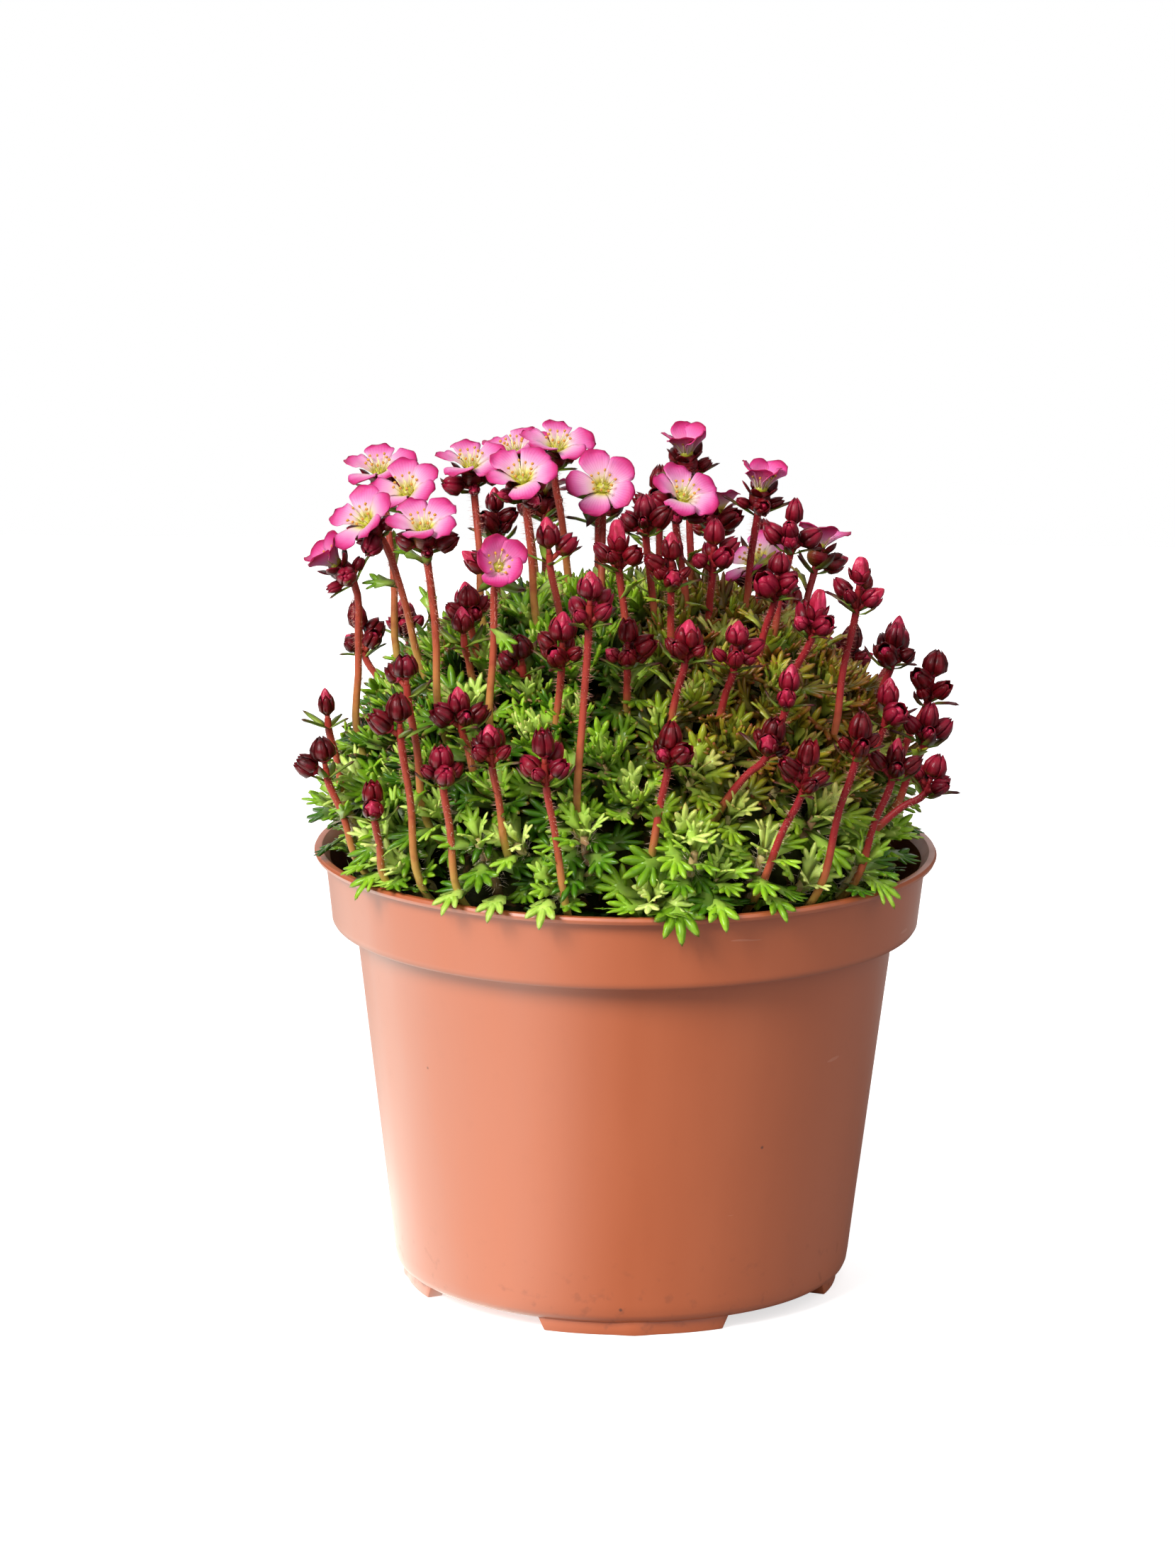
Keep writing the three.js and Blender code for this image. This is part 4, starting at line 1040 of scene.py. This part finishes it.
# How far the petals of a flower that is half open are lifted, in radians.
HALF_OPEN = {0: 0.6, 10: 0.4, 12: 0.62, 13: 0.62, 15: 0.35}
flowers = [stem for stems in SPRAYS for stem in stems if len(stem) > 6]
for n, stem in enumerate(flowers):
    axis = Vector((stem[6], stem[7], 1)).normalized()
    top = Vector((stem[2], stem[3], RIM_TOP + stem[4]))
    spin = rng.uniform(0, 1.2)
    tone = rng.uniform(-0.03, 0.08) + (0.1 if n in HALF_OPEN else 0)
    parts = [set_on(centre, top, axis, spin=spin)]
    for i in range(5):
        lift = 0.02 + HALF_OPEN.get(n, 0) + rng.uniform(-0.12, 0.12)
        turn = Matrix.Rotation(2 * pi * i / 5 + rng.uniform(-0.07, 0.07), 4, "Z")
        twist = Matrix.Rotation(0.14 + rng.uniform(-0.08, 0.08), 4, "X")
        pitch = Matrix.Rotation(-lift, 4, "Y") @ Matrix.Translation((-0.6, 0, 0))
        blade = copy_of(petal, Matrix.Scale(rng.uniform(1, 1.1) - (0.1 if n in HALF_OPEN else 0), 4))
        phase = rng.uniform(0, 6)
        for point in blade.data.vertices:
            edge = (abs(point.co.y) / 3) ** 2 + max(point.co.x - 4, 0) ** 2 * 0.12
            point.co.z += 0.27 * edge * sin(1.9 * point.co.x + 1.7 * point.co.y + phase)
        blade.data.transform(turn @ Matrix.Translation((0.6, 0, 0)) @ pitch @ twist)
        stamp(blade.data, "tint", tone)
        modified(blade, "SOLIDIFY", thickness=0.14, offset=0)
        parts.append(set_on(taken(blade), top, axis, spin=spin))
    piece = join(parts, f"bloom_{n + 1:02d}_flower")
    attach(piece, "root")
    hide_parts(f"bloom_{n + 1:02d}")
for mesh in [m for m in bpy.data.meshes if not m.users]:
    bpy.data.meshes.remove(mesh)


# Studio
# The floor and the world are white to the camera and dim to other rays, and in reflections alone the floor
# glows at the left. The key light stands at the front left, a weak one at the front right and a faint one
# behind. The camera is 1.2 m away and looks down a little.
GLOW = 3.2
bpy.ops.mesh.primitive_plane_add(size=1.6)
ground = bpy.context.object
ground.name = "floor"
white, at, shader = look("floor", 0.7, Emission_Strength=GLOW)
seen = at.node("LightPath", out="Is Camera Ray")
mirrored = at.node("LightPath", out="Is Glossy Ray")
pale = at.noise(3, 1.0).blend((0.78, 0.78, 0.78), (0.8, 0.8, 0.8))
away = at.node("VectorMath", {0: at}, out=1, operation="LENGTH")
leftward = at.node("VectorMath", {0: at, 1: (-0.92, 0.39, 0)}, out=1, operation="DOT_PRODUCT")
beside = leftward.math("DIVIDE", away + 0.001).step(-0.45, 0.35) * (1 - away.step(0.3, 0.6))
backward = at.xyz()[1].math("DIVIDE", away + 0.001).step(0.45, 0.9)
glow = (beside * (1 - backward * 0.8) * mirrored).blend((0, 0, 0), (0.95, 1, 0.92))
feed(shader, Base_Color=seen.blend((0.3, 0.3, 0.3), pale),
     Emission_Color=seen.blend(glow, (0.65 / GLOW, 0.65 / GLOW, 0.65 / GLOW)))
ground.data.materials.append(white)
world = bpy.data.worlds.new("studio")
world.use_nodes = True
shader = world.node_tree.nodes["Background"]
shader.inputs["Color"].default_value = (1, 1, 1, 1)
seen = Shade(world.node_tree.nodes.new("ShaderNodeLightPath").outputs["Is Camera Ray"])
feed(shader, Strength=0.18 + seen * 0.82)
bpy.context.scene.world = world


def sun(azimuth, elevation, energy, spread):
    """A soft sun, azimuth degrees to the left of the front, that looks at the plant."""
    a, e = radians(azimuth), radians(elevation)
    way = Vector((-sin(a) * cos(e), -cos(a) * cos(e), sin(e)))
    bpy.ops.object.light_add(type="SUN", location=way * 1.5)
    lamp = bpy.context.object
    lamp.data.energy = energy
    lamp.data.angle = radians(spread)
    lamp.rotation_euler = way.to_track_quat("Z", "Y").to_euler()


sun(42, 36, 4, 26)
sun(-40, 35, 1.1, 70)
sun(170, 32, 0.8, 70)

SENSOR = 36
DISTANCE = 1.2
ELEVATION = 0.22913
YAW, PITCH, ROLL = -0.0062133, 0.0109968, 0.0105862
FOCAL_PIXELS = 8773.5
IMAGE_HEIGHT = 2212
eye = Vector((0, -DISTANCE * cos(ELEVATION), DISTANCE * sin(ELEVATION) + 0.084))
ahead = Vector((0, cos(ELEVATION), -sin(ELEVATION)))
up = Vector((1, 0, 0)).cross(ahead)
ahead = (ahead + Vector((1, 0, 0)) * tan(YAW) + up * tan(PITCH)).normalized()
right = ahead.cross(up).normalized()
up = right.cross(ahead)
right, up = right * cos(ROLL) + up * sin(ROLL), up * cos(ROLL) - right * sin(ROLL)
bpy.ops.object.camera_add(location=eye)
camera = bpy.context.object
camera.rotation_euler = Matrix((right, up, -ahead)).transposed().to_euler()
camera.data.sensor_fit = "VERTICAL"
camera.data.sensor_height = SENSOR
camera.data.lens = SENSOR * FOCAL_PIXELS / IMAGE_HEIGHT
camera.data.clip_end = 50
bpy.context.scene.camera = camera
bpy.context.scene.view_settings.view_transform = "Standard"
